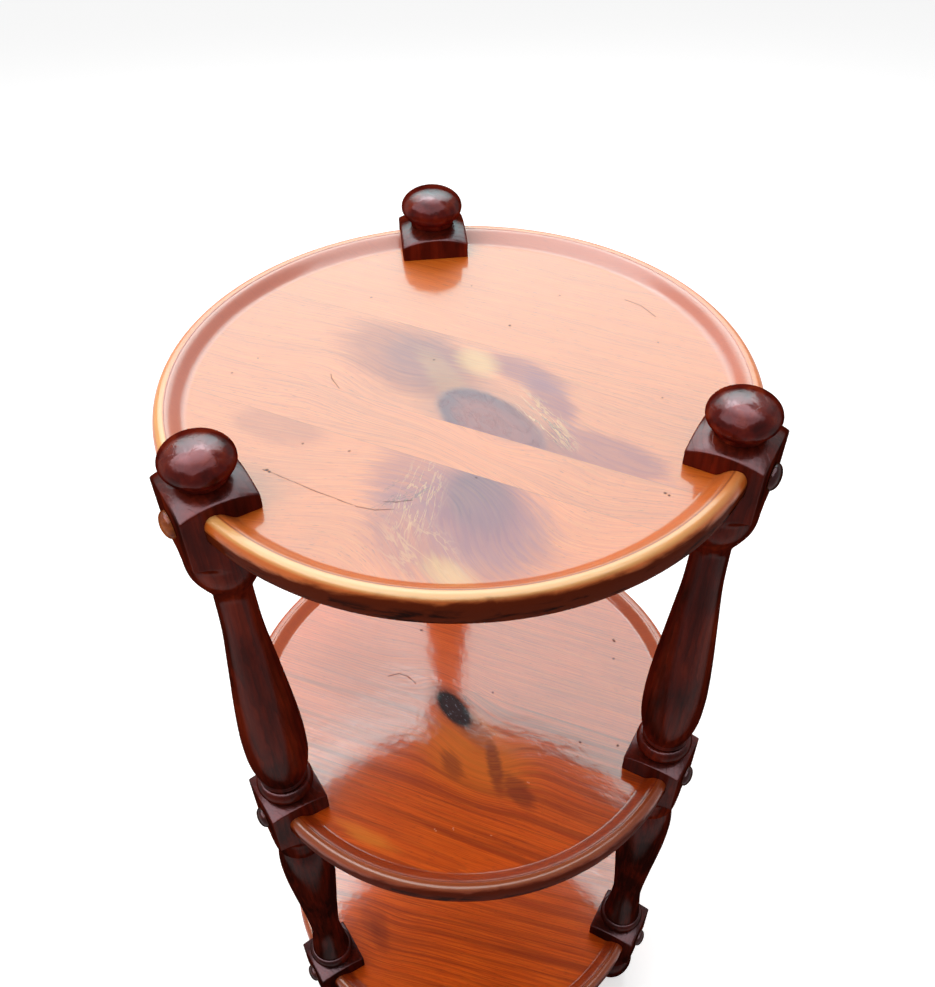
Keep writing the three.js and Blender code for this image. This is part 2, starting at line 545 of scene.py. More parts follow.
    def tint(self, share: Feed, under: Feed, over: Feed, way: str = "MIX") -> Socket:
        """Lay one colour over another.

        Args:
            share: How much of it shows.
            under: Colour beneath.
            over: Colour on top.
            way: How they blend.

        Returns:
            The colour.
        """
        node = self.add("Mix", data_type="RGBA", blend_type=way, clamp_factor=True)
        self.feed(node.inputs[0], share)
        for socket, value in ((node.inputs[6], under), (node.inputs[7], over)):
            self.feed(socket, value if isinstance(value, Socket) else (*value, 1.0))
        return node.outputs[2]

    def ramp(self, value: Feed, stops: tuple[tuple[float, Colour], ...]) -> Socket:
        """Read a colour off a scale.

        Args:
            value: Place on the scale.
            stops: Place and colour of each stop.

        Returns:
            The colour.
        """
        node = self.add("ValToRGB")
        band = node.color_ramp
        while len(band.elements) < len(stops):
            band.elements.new(0.5)
        for element, (place, colour) in zip(band.elements, stops):
            element.position = place
            element.color = (*colour, 1.0)
        self.feed(node.inputs[0], value)
        return node.outputs[0]

    def bump(self, height: Feed, depth: float) -> Socket:
        """Raise the surface by a height map.

        Args:
            height: The map.
            depth: Metres that a height of one stands for.

        Returns:
            The new normal.
        """
        node = self.add("Bump")
        node.inputs["Strength"].default_value = 1.0
        node.inputs["Distance"].default_value = depth
        self.feed(node.inputs["Height"], height)
        return node.outputs[0]

    def varnish(self, settings: dict[str, Feed]) -> bpy.types.Material:
        """Finish the tree with its surface shader.

        Args:
            settings: Link or value for each named input of the shader.

        Returns:
            The material.
        """
        surface = self.add("BsdfPrincipled")
        for key, value in settings.items():
            if isinstance(value, tuple) and len(value) == 3:
                value = (*value, 1.0)
            self.feed(surface.inputs[key], value)
        self.feed(self.add("OutputMaterial").inputs[0], surface.outputs[0])
        return self.owner

    def seen_directly(self) -> Socket:
        """Tell rays that look at the background from those that light the table.

        Returns:
            One for a ray from the camera, a reflection or through glass.
        """
        paths = self.add("LightPath").outputs
        seen = self.math("MAXIMUM", paths["Is Camera Ray"], paths["Is Glossy Ray"])
        return self.math("MAXIMUM", seen, paths["Is Transmission Ray"])


# Finishes


@dataclass(frozen=True)
class Board:
    """One board of a glued-up shelf: where it starts across the shelf, and its figure."""

    start: float
    tone: float
    seed: float
    lines: float = 0.35
    bands: float = 0.3
    ring: float = 3.2
    pith_across: float = -170.0
    pith_depth: float = 70.0
    rise: float = 0.02


@dataclass(frozen=True)
class Patch:
    """An ellipse that lies in the shelf, along and across its grain, kept to some boards."""

    along: float
    across: float
    length: float
    width: float
    turn: float = 0.0
    over: float = -FAR
    under: float = FAR


@dataclass(frozen=True)
class Knot:
    """A knot: its place, its heart and rim, and how far the growth lines bend round it."""

    place: Patch
    heart: Colour
    rim: Colour
    strength: float
    bend: float
    sparkle: float = 0.0
    soft: float = 0.07
    matt: float = 1.0
    mottle: float = 2.4
    glint: Colour = srgb(120, 112, 124)


@dataclass(frozen=True)
class Cloud:
    """A soft stain in the wood: its place, colour and strength, and how torn its edge is."""

    place: Patch
    colour: Colour
    strength: float
    torn: float = 0.5
    soft: float = 0.3


@dataclass(frozen=True)
class Feather:
    """A place where fine threads run through the wood, along the patch and broken up."""

    place: Patch
    colour: Colour
    strength: float
    width: float = 0.03
    threads: float = 2.6


@dataclass(frozen=True)
class Swirl:
    """A place where the grain turns by some degrees."""

    along: float
    across: float
    reach: float
    turn: float


@dataclass(frozen=True)
class Mark:
    """A fine crack, scratch, hair or speck, drawn through its points."""

    points: Outline
    width: float
    colour: Colour = srgb(52, 16, 10)
    strength: float = 0.75
    wander: float = 0.0
    core: float = 0.3
    apart: bool = False


@dataclass(frozen=True)
class RimBands:
    """Where the stain and the painted light of a rim change.

    The bands run from none of it to all of it: first those in from the edge, then those over
    the rim, all in millimetres. The last three are directions in degrees: where the front is,
    where the painted highlight on the crest is strongest, and where the painted shade of the
    edge climbs highest.
    """

    side: tuple[float, float] = (4.5, 2.5)
    crest: tuple[float, float] = (8.0, 6.6)
    cove_start: tuple[float, float] = (21.0, 17.0)
    cove_end: tuple[float, float] = (7.2, 8.4)
    quirk: float = 8.1
    upper: tuple[float, float] = (-8.2, -7.2)
    worn_crest: tuple[float, float] = (-2.8, -0.8)
    dark_side: tuple[float, float] = (-11.6, -15.8)
    burnt_side: tuple[float, float] = (-15.3, -20.8)
    climb: float = -11.6
    front: float = -90.0
    handled: float = -115.0
    dark: float = -85.0


@dataclass(frozen=True)
class PineFinish:
    """Stained pine under gloss lacquer, glued up from boards.

    Its sizes are in millimetres. A scale says how often a noise repeats in a millimetre, along
    the grain, across it and down.
    """

    name: str
    grain: float
    boards: tuple[Board, ...]
    knots: tuple[Knot, ...] = ()
    clouds: tuple[Cloud, ...] = ()
    feathers: tuple[Feather, ...] = ()
    swirls: tuple[Swirl, ...] = ()
    marks: tuple[Mark, ...] = ()
    light: Colour = srgb(228, 122, 38)
    mid: Colour = srgb(222, 106, 25)
    deep: Colour = srgb(208, 93, 20)
    late: Colour = srgb(150, 56, 18)
    pore: Colour = srgb(96, 34, 14)
    # Dark red-brown laid on the edge's underside and along the quirk: painted shade.
    edge: Colour = srgb(92, 30, 14)
    # Near-black blotches low on the edge: partly the edge's own marks, partly painted shade where
    # it is darkest.
    burnt: Colour = srgb(40, 12, 6)
    cove: Colour = srgb(204, 104, 40)
    # Pink-mauve of the cove at the back and left: a painted reflection.
    hollow: Colour = srgb(214, 144, 132)
    crest: Colour = srgb(232, 116, 42)
    # Pale cream laid on the crest: a painted highlight.
    rubbed: Colour = srgb(246, 180, 104)
    radius: float = 185.0
    gloss: float = 0.5
    sheen: float = 0.12
    wander: float = 24.0
    joint: float = 0.15
    seam: float = 0.3
    fade_base: float = 2.718
    lacquer_ior: float = 1.5
    grain_depth: float = 0.00005
    wave_depth: float = 0.00022
    fine_scale: Scale = (0.02, 1.1, 1.0)
    broad_scale: Scale = (0.0035, 0.13, 1.0)
    dash_scale: Scale = (0.13, 1.6, 1.0)
    tone_scale: Scale = (0.011, 0.02, 1.0)
    wobble_scale: Scale = (0.009, 0.05, 1.0)
    torn_scale: Scale = (0.035, 0.3, 1.0)
    shake_scale: Scale = (0.16, 0.16, 0.16)
    wave_scale: Scale = (0.03, 0.055, 0.0)
    blotch_scale: Scale = (0.035, 0.035, 0.16)
    dash_strength: float = 0.38
    glue_strength: float = 0.3
    rim: RimBands = RimBands()

    def material(self) -> bpy.types.Material:
        """Build the finish.

        Returns:
            The material.
        """
        sheet = ShadeSheet(bpy.data.materials.new(self.name))
        base = sheet.local_point(-self.grain)
        _, across, height = sheet.parts(base)
        point = sheet.vectors("MULTIPLY", base, (1.0, 1.0, 0.0))
        masks = self.board_masks(sheet, across)
        seed = self.by_board(sheet, masks, [board.seed for board in self.boards])
        run, over = self.flow(sheet, point)
        flow = sheet.vector(run, over, sheet.math("MULTIPLY_ADD", height, 0.25, seed))
        fine = sheet.noise(sheet.stretched(flow, self.fine_scale), 4.0, 0.62)
        share, late = self.rings(sheet, masks, seed, flow, run, over, height)
        dash = sheet.noise(sheet.stretched(flow, self.dash_scale, 5.0), 2.0, 0.5)
        dash = sheet.ease(dash, 0.61, 0.72)
        colour = self.grain_colour(sheet, masks, flow, fine, late, dash)
        colour = sheet.tint(self.glue_lines(sheet, across), colour, self.pore)

        dull: Feed = sheet.math("MULTIPLY", dash, 0.1)
        lined = sheet.math("MULTIPLY_ADD", late, 0.25, sheet.spread(fine, 0.65, 1.05))
        for cloud in self.clouds:
            mask = self.cloud_mask(sheet, cloud, point, across, flow, lined)
            colour = sheet.tint(mask, colour, cloud.colour)
            if sum(cloud.colour) < sum(self.deep):
                dull = sheet.math("MAXIMUM", dull, mask)
        pits: Feed = sheet.math("MULTIPLY", dash, 0.5)
        for knot in self.knots:
            colour, body, pit = self.knot_colour(sheet, knot, point, across, colour)
            dull = sheet.math("MAXIMUM", dull, sheet.math("MULTIPLY", body, knot.matt))
            pits = sheet.math("ADD", pits, pit)
        for feather in self.feathers:
            mask = self.feather_mask(sheet, feather, point, across)
            colour = sheet.tint(mask, colour, feather.colour)
        shake = sheet.noise(sheet.stretched(base, self.shake_scale), 3.0, 0.6)
        shake = sheet.math("SUBTRACT", shake, 0.5)
        scratch: Feed = 0.0
        for mark in self.marks:
            mask = self.mark_mask(sheet, mark, point, shake)
            colour = sheet.tint(mask, colour, mark.colour)
            scratch = sheet.math("MAXIMUM", mask, scratch)
        colour, side, cove = self.rim_colour(sheet, base, point, height, colour)

        wave = sheet.noise(sheet.stretched(base, self.wave_scale), 2.0, 0.4)
        wave = sheet.math("MULTIPLY_ADD", shake, 0.4, wave)
        relief = sheet.math("MULTIPLY_ADD", share, -0.25, sheet.math("MULTIPLY", fine, 0.9))
        normal = sheet.bump(sheet.math("SUBTRACT", relief, pits), self.grain_depth)
        worn = sheet.math("MAXIMUM", dull, sheet.math("MULTIPLY", cove, 0.4))
        gloss = sheet.math("MULTIPLY_ADD", worn, -0.2, self.gloss)
        gloss = sheet.math("MULTIPLY", gloss, sheet.math("MULTIPLY_ADD", side, -0.92, 1.0))
        gloss = sheet.math("MULTIPLY", gloss, sheet.ease(scratch, 0.55, 0.0))
        return sheet.varnish(
            {
                "Base Color": colour,
                "Roughness": sheet.spread(fine, 0.3, 0.48),
                "Normal": normal,
                "Specular IOR Level": sheet.math("MULTIPLY_ADD", side, -self.sheen, self.sheen),
                "Coat Weight": gloss,
                "Coat Roughness": sheet.spread(sheet.ease(height, -7.3, -3.0), 0.1, 0.22),
                "Coat IOR": self.lacquer_ior,
                "Coat Normal": sheet.bump(wave, self.wave_depth),
            }
        )

    def grain_colour(
        self,
        sheet: ShadeSheet,
        masks: list[Socket],
        flow: Socket,
        fine: Socket,
        late: Socket,
        dash: Socket,
    ) -> Socket:
        """Colour the clear wood: its fibres, bands, growth lines, pores and the boards' tones.

        Args:
            sheet: The node sheet.
            masks: Shares from board_masks.
            flow: Point that follows the grain.
            fine: Level of the fine fibres.
            late: How much of the dark late wood shows.
            dash: How much of a pore shows.

        Returns:
            The colour.
        """
        colour = sheet.ramp(
            sheet.math("MULTIPLY_ADD", fine, 1.2, -0.1),
            ((0.2, self.deep), (0.5, self.mid), (0.8, self.light)),
        )
        broad = sheet.noise(sheet.stretched(flow, self.broad_scale), 3.0, 0.55)
        bands = self.by_board(sheet, masks, [board.bands for board in self.boards])
        band = sheet.math("MULTIPLY", sheet.ease(broad, 0.46, 0.66), bands)
        colour = sheet.tint(band, colour, self.late)
        lines = self.by_board(sheet, masks, [board.lines for board in self.boards])
        colour = sheet.tint(sheet.math("MULTIPLY", late, lines), colour, self.late)
        pores = sheet.math("MULTIPLY", dash, self.dash_strength)
        colour = sheet.tint(pores, colour, self.pore)
        tone = sheet.noise(sheet.stretched(flow, self.tone_scale, 9.0), 3.0, 0.5, 0.4)
        board_tone = self.by_board(sheet, masks, [board.tone for board in self.boards])
        level = sheet.math("MULTIPLY", board_tone, sheet.spread(tone, 0.82, 1.16))
        grey = sheet.add("CombineColor")
        for socket in grey.inputs:
            sheet.feed(socket, level)
        return sheet.tint(1.0, colour, grey.outputs[0], "MULTIPLY")

    def board_masks(self, sheet: ShadeSheet, across: Socket) -> list[Socket]:
        """Find how far each board after the first lies under a point.

        Args:
            sheet: The node sheet.
            across: Distance across the boards.

        Returns:
            One share for each board after the first.
        """
        return [
            sheet.ease(across, board.start - self.joint, board.start + self.joint)
            for board in self.boards[1:]
        ]

    def by_board(self, sheet: ShadeSheet, masks: list[Socket], values: list[float]) -> Socket:
        """Pick a value by the board.

        Args:
            sheet: The node sheet.
            masks: Shares from board_masks.
            values: One value for each board.

        Returns:
            The value at the point.
        """
        total: Feed = values[0]
        for mask, before, after in zip(masks, values, values[1:]):
            total = sheet.math("MULTIPLY_ADD", mask, after - before, total)
        return total

    def glue_lines(self, sheet: ShadeSheet, across: Feed) -> Socket:
        """Draw the fine line where two boards meet.

        Args:
            sheet: The node sheet.
            across: Distance across the boards.

        Returns:
            How much of the line shows.
        """
        total: Feed = 0.0
        for board in self.boards[1:]:
            away = sheet.math("ABSOLUTE", sheet.math("SUBTRACT", across, board.start))
            line = sheet.math("MULTIPLY", sheet.ease(away, 0.42, 0.1), self.glue_strength)
            total = sheet.math("ADD", line, total)
        return total

    def around(
        self, sheet: ShadeSheet, point: Feed, place: Patch, grown: float = 1.0
    ) -> tuple[Socket, Socket, Socket]:
        """Measure from the middle of a patch.

        Args:
            sheet: The node sheet.
            point: Point in the shelf's plane, along and across the boards.
            place: The patch.
            grown: How many times larger the patch is taken.

        Returns:
            Place along the patch, place across it, and distance as a share of its size.
        """
        turn = math.radians(place.turn)
        length, width = place.length * grown, place.width * grown
        offset = sheet.vectors("SUBTRACT", point, (place.along, place.across, 0.0))
        reach = (math.cos(turn) / length, math.sin(turn) / length, 0.0)
        first = sheet.vectors("DOT_PRODUCT", offset, reach)
        reach = (-math.sin(turn) / width, math.cos(turn) / width, 0.0)
        second = sheet.vectors("DOT_PRODUCT", offset, reach)
        square = sheet.math("MULTIPLY_ADD", first, first, sheet.math("MULTIPLY", second, second))
        return first, second, sheet.math("SQRT", square)

    def pull(self, sheet: ShadeSheet, away: Feed) -> Socket:
        """Fade a pull smoothly from 1 at no distance to nothing.

        Args:
            sheet: The node sheet.
            away: Distance as a share of the reach.

        Returns:
            The pull.
        """
        square = sheet.math("MULTIPLY", away, away)
        return sheet.math("POWER", self.fade_base, sheet.math("MULTIPLY", square, -1.0))

    def within(self, sheet: ShadeSheet, mask: Socket, place: Patch, across: Feed) -> Socket:
        """Keep a mask to the boards that a patch is on.

        Args:
            sheet: The node sheet.
            mask: The mask.
            place: The patch.
            across: Distance across the boards.

        Returns:
            The mask inside those boards.
        """
        if place.over > -FAR:
            inside = sheet.ease(across, place.over - self.seam, place.over + self.seam)
            mask = sheet.math("MULTIPLY", mask, inside)
        if place.under < FAR:
            inside = sheet.ease(across, place.under + self.seam, place.under - self.seam)
            mask = sheet.math("MULTIPLY", mask, inside)
        return mask

    def flow(self, sheet: ShadeSheet, point: Feed) -> tuple[Socket, Socket]:
        """Bend the grain round the knots and swirls.

        Args:
            sheet: The node sheet.
            point: Point in the shelf's plane, along and across the boards.

        Returns:
            Distances along and across the grain itself.
        """
        along, across, _ = sheet.parts(point)
        for swirl in self.swirls:
            place = Patch(swirl.along, swirl.across, swirl.reach, swirl.reach)
            _, _, away = self.around(sheet, point, place)
            angle = sheet.math("MULTIPLY", self.pull(sheet, away), math.radians(swirl.turn))
            cosine, sine = sheet.math("COSINE", angle), sheet.math("SINE", angle)
            du = sheet.math("SUBTRACT", along, swirl.along)
            dv = sheet.math("SUBTRACT", across, swirl.across)
            along = sheet.math("MULTIPLY_ADD", du, cosine, swirl.along)
            along = sheet.math("SUBTRACT", along, sheet.math("MULTIPLY", dv, sine))
            across = sheet.math("MULTIPLY_ADD", dv, cosine, swirl.across)
            across = sheet.math("MULTIPLY_ADD", du, sine, across)
        for knot in self.knots:
            _, _, away = self.around(sheet, point, knot.place, knot.bend)
            offset = sheet.math("SUBTRACT", across, knot.place.across)
            across = sheet.math(
                "SUBTRACT", across, sheet.math("MULTIPLY", offset, self.pull(sheet, away))
            )
        return along, across

    def rings(
        self,
        sheet: ShadeSheet,
        masks: list[Socket],
        seed: Feed,
        flow: Socket,
        along: Feed,
        across: Feed,
        height: Feed,
    ) -> tuple[Socket, Socket]:
        """Cut the growth rings of each board.

        Args:
            sheet: The node sheet.
            masks: Shares from board_masks.
            seed: Number that sets the boards apart.
            flow: Point that follows the grain.
            along: Distance along the grain.
            across: Distance across the grain.
            height: Height above the rim.

        Returns:
            Place within a ring, and how much of the dark late wood shows.
        """
        pith_across = self.by_board(sheet, masks, [b.pith_across for b in self.boards])
        pith_depth = self.by_board(sheet, masks, [b.pith_depth for b in self.boards])
        rise = self.by_board(sheet, masks, [b.rise for b in self.boards])
        ring = self.by_board(sheet, masks, [1 / b.ring for b in self.boards])
        sideways = sheet.math("SUBTRACT", across, pith_across)
        down = sheet.math(
            "ADD", sheet.math("ADD", pith_depth, height), sheet.math("MULTIPLY", rise, along)
        )
        radius = sheet.math(
            "SQRT",
            sheet.math("MULTIPLY_ADD", sideways, sideways, sheet.math("MULTIPLY", down, down)),
        )
        wobble = sheet.noise(sheet.stretched(flow, self.wobble_scale, 3.0), 4.0, 0.5)
        wandering = sheet.math("MULTIPLY_ADD", wobble, self.wander, radius)
        phase = sheet.math("MULTIPLY", wandering, ring)
        share = sheet.math("FRACT", phase)
        late = sheet.math("MULTIPLY", sheet.ease(share, 0.3, 0.9), sheet.ease(share, 1.0, 0.93))
        chance = sheet.add("TexWhiteNoise", noise_dimensions="2D")
        sheet.feed(chance.inputs["Vector"], sheet.vector(sheet.math("FLOOR", phase), seed, 0.0))
        return share, sheet.math("MULTIPLY", late, sheet.spread(chance.outputs["Value"], 0.1, 1.0))

    def cloud_mask(
        self,
        sheet: ShadeSheet,
        cloud: Cloud,
        point: Feed,
        across: Feed,
        flow: Socket,
        lined: Socket,
    ) -> Socket:
        """Shape a soft stain, its edge torn along the growth lines.

        Args:
            sheet: The node sheet.
            cloud: The stain.
            point: Point in the shelf's plane, along and across the boards.
            across: Distance across the board.
            flow: Point that follows the grain.
            lined: How strongly each growth line takes the stain.

        Returns:
            How much of the stain shows.
        """
        _, _, away = self.around(sheet, point, cloud.place)
        where = sheet.stretched(flow, self.torn_scale, cloud.place.along)
        torn = sheet.noise(where, 5.0, 0.62)
        torn = sheet.math("SUBTRACT", torn, 0.5)
        edge = sheet.math("MULTIPLY_ADD", torn, cloud.torn * 2, away)
        mask = sheet.ease(edge, 1.0 + cloud.soft, 1.0 - cloud.soft)
        mask = sheet.math("MULTIPLY", mask, cloud.strength)
        inner = sheet.math("MULTIPLY_ADD", torn, cloud.torn * 1.2, lined, clamp=True)
        return self.within(sheet, sheet.math("MULTIPLY", mask, inner), cloud.place, across)

    def knot_colour(
        self, sheet: ShadeSheet, knot: Knot, point: Feed, across: Feed, colour: Feed
    ) -> tuple[Socket, Socket, Socket]:
        """Draw a knot over the wood.

        Args:
            sheet: The node sheet.
            knot: The knot.
            point: Point in the shelf's plane, along and across the boards.
            across: Distance across the board.
            colour: Colour of the wood beneath.

        Returns:
            The colour with the knot, how much of the knot shows, and how deep its cracks are.
        """
        first, second, away = self.around(sheet, point, knot.place)
        where = sheet.vector(first, second, knot.strength)
        ripple = sheet.noise(sheet.stretched(where, (knot.mottle, knot.mottle, 1.0)), 5.0, 0.65)
        offset = sheet.math("SUBTRACT", ripple, 0.5)
        edge = sheet.math("MULTIPLY_ADD", offset, knot.soft * 2, away)
        body = sheet.ease(edge, 1.0 + knot.soft, 1.0 - knot.soft)
        body = sheet.math("MULTIPLY", body, knot.strength)
        body = self.within(sheet, body, knot.place, across)
        halo = sheet.math("MULTIPLY", sheet.ease(edge, 1.7, 1.0), 0.4 * knot.strength)
        halo = self.within(sheet, halo, knot.place, across)
        colour = sheet.tint(halo, colour, self.late)
        rim = sheet.ease(sheet.math("MULTIPLY_ADD", offset, 0.8, away), 0.42, 0.96)
        side = sheet.ease(sheet.math("MULTIPLY_ADD", offset, 0.8, first), 0.5, -0.6)
        rim = sheet.math("MULTIPLY", rim, sheet.spread(side, 0.35, 1.0))
        inner = sheet.tint(rim, knot.heart, knot.rim)
        grown = sheet.math("FRACT", sheet.math("MULTIPLY", edge, 5.0))
        grown = sheet.math("MULTIPLY", sheet.ease(grown, 0.4, 0.95), 0.22)
        inner = sheet.tint(grown, inner, knot.rim)
        crack = sheet.ease(sheet.math("ABSOLUTE", offset), 0.03, 0.0)
        glint = sheet.math("MULTIPLY", sheet.ease(ripple, 0.56, 0.68), knot.sparkle)
        inner = sheet.tint(glint, inner, knot.glint)
        colour = sheet.tint(body, colour, inner)
        return colour, body, sheet.math("MULTIPLY", sheet.math("MULTIPLY", crack, body), 2.0)

    def feather_mask(
        self, sheet: ShadeSheet, feather: Feather, point: Feed, across: Feed
    ) -> Socket:
        """Draw fine threads that break up inside a patch.

        Args:
            sheet: The node sheet.
            feather: The threads.
            point: Point in the shelf's plane, along and across the boards.
            across: Distance across the board.

        Returns:
            How much of the threads shows.
        """
        first, second, away = self.around(sheet, point, feather.place)
        shift = feather.place.along + feather.strength
        where = sheet.stretched(sheet.vector(first, second, shift), (1.1, feather.threads, 1.0))
        level = sheet.noise(where, 4.0, 0.6, 0.5)
        level = sheet.math("ABSOLUTE", sheet.math("SUBTRACT", level, 0.5))
        thread = sheet.ease(level, feather.width, 0.0)
        mask = sheet.math("MULTIPLY", sheet.ease(away, 1.05, 0.35), feather.strength)
        return self.within(sheet, sheet.math("MULTIPLY", mask, thread), feather.place, across)

    def mark_mask(self, sheet: ShadeSheet, mark: Mark, point: Feed, shake: Feed) -> Socket:
        """Draw a mark as a fine line through its points, or as a speck at each.

        Args:
            sheet: The node sheet.
            mark: The mark.
            point: Point in the shelf's plane, along and across the boards.
            shake: Noise that makes it wander and fade.

        Returns:
            How much of the mark shows.
        """
        if mark.wander:
            wander = (mark.wander * 1.4, mark.wander * 1.4, 0.0)
            point = sheet.vectors("ADD", point, sheet.vectors("SCALE", wander, None, None, shake))
        least: Feed = 99.0
        ends = mark.points if mark.apart else mark.points[1:]
        for start, end in zip(mark.points, ends):
            offset = sheet.vectors("SUBTRACT", point, (*start, 0.0))
            if not mark.apart:
                step = Vector((end[0] - start[0], end[1] - start[1], 0.0))
                share = sheet.vectors("DOT_PRODUCT", offset, tuple(step / step.length_squared))
                share = sheet.math("ADD", share, 0.0, clamp=True)
                nearest = sheet.vectors("SCALE", tuple(step), None, None, share)
                offset = sheet.vectors("SUBTRACT", offset, nearest)
            least = sheet.math("MINIMUM", sheet.vectors("LENGTH", offset), least)
        mask = sheet.ease(least, mark.width, mark.width * mark.core)
        if mark.wander and not mark.apart:
            mask = sheet.math("MULTIPLY", mask, sheet.ease(shake, -0.22, 0.06))
        return sheet.math("MULTIPLY", mask, mark.strength)

    def toward(self, sheet: ShadeSheet, point: Feed, azimuth: float) -> Socket:
        """Measure how far a point lies to one side, from -1 to 1 at the rim.

        Args:
            sheet: The node sheet.
            point: Point in the shelf's plane, along and across the boards.
            azimuth: Direction of that side, in degrees.

        Returns:
            The share of the radius.
        """
        angle = math.radians(azimuth - self.grain)
        side = (math.cos(angle) / self.radius, math.sin(angle) / self.radius, 0.0)
        return sheet.vectors("DOT_PRODUCT", point, side)

    def inwards(self, sheet: ShadeSheet, radius: Socket, band: tuple[float, float]) -> Socket:
        """Ease across a band that is given in from the edge.

        Args:
            sheet: The node sheet.
            radius: Distance from the shelf's axis.
            band: How far in the share is 0, and how far in it is 1.

        Returns:
            The share.
        """
        return sheet.ease(radius, self.radius - band[0], self.radius - band[1])

    def rim_colour(
        self, sheet: ShadeSheet, base: Feed, point: Feed, height: Feed, colour: Feed
    ) -> tuple[Socket, Socket, Socket]:
        """Stain the cove and the edge where stain gathers, with a painted highlight on the crest,
        a painted reflection at the back of the cove, and painted shade under the edge and in the
        quirk.

        Args:
            sheet: The node sheet.
            base: Point on the shelf.
            point: The same point, flattened into the shelf's plane.
            height: Height above the rim.
            colour: Colour so far.

        Returns:
            The colour with the stained rim and its painted light, how much of the edge's shaded
            side shows, and of the cove.
        """
        radius = sheet.vectors("LENGTH", point)
        blotch = sheet.noise(sheet.stretched(base, self.blotch_scale), 4.0, 0.6, 0.8)
        offset = sheet.math("SUBTRACT", blotch, 0.5)
        outer = self.inwards(sheet, radius, self.rim.side)
        # The edge darkens from below, reaching higher towards the front: painted shade on its
        # underside.
        low = sheet.math("MULTIPLY_ADD", offset, 7.0, height)
        dark = self.toward(sheet, point, self.rim.dark)
        low = sheet.math("MULTIPLY_ADD", dark, self.rim.climb, low)
        # The crest's pale cream is a painted highlight, strongest towards the front left.
        handled = sheet.ease(self.toward(sheet, point, self.rim.handled), 0.0, 0.7)
        fore = sheet.ease(self.toward(sheet, point, self.rim.front), -0.1, 0.7)
        upper = sheet.ease(height, *self.rim.upper)
        # The crest's orange stain fades towards the back and left, leaving it paler there: a
        # painted reflection.
        crest = self.inwards(sheet, radius, self.rim.crest)
        stained = sheet.math("MULTIPLY", crest, sheet.spread(fore, 0.3, 0.75))
        colour = sheet.tint(stained, colour, self.crest)
        rubbed = sheet.spread(handled, 0.1, 0.85)
        rubbed = sheet.math("MULTIPLY", sheet.ease(height, *self.rim.worn_crest), rubbed)
        colour = sheet.tint(sheet.math("MULTIPLY", crest, rubbed), colour, self.rubbed)
        side = sheet.math("MULTIPLY", outer, sheet.ease(low, *self.rim.dark_side))
        colour = sheet.tint(sheet.math("MULTIPLY", side, 0.97), colour, self.edge)
        # Near-black blotches on the lowest part of the edge, inside its painted shade.
        patch = sheet.ease(low, *self.rim.burnt_side)
        patch = sheet.math("MULTIPLY", sheet.ease(blotch, 0.48, 0.66), patch)
        colour = sheet.tint(sheet.math("MULTIPLY", outer, patch), colour, self.burnt)
        cove = sheet.math(
            "MULTIPLY",
            self.inwards(sheet, radius, self.rim.cove_start),
            self.inwards(sheet, radius, self.rim.cove_end),
        )
        strong = sheet.math("MULTIPLY", upper, sheet.spread(fore, 1.2, 1.0))
        cove = sheet.math("MULTIPLY", cove, strong)
        # The cove shows its own gathered stain at the front, and a painted reflection towards the
        # back and left.
        stain = sheet.tint(fore, self.hollow, self.cove)
        colour = sheet.tint(sheet.math("MULTIPLY", cove, 0.6), colour, stain)
        # A dark line along the quirk, at the front only: painted shade in the groove.
        away = sheet.math("SUBTRACT", radius, self.radius - self.rim.quirk)
        away = sheet.math("ABSOLUTE", away)
        quirk = sheet.math("MULTIPLY", upper, fore)
        quirk = sheet.math("MULTIPLY", sheet.ease(away, 0.75, 0.2), quirk)
        colour = sheet.tint(sheet.math("MULTIPLY", quirk, 0.45), colour, self.edge)
        return colour, side, cove


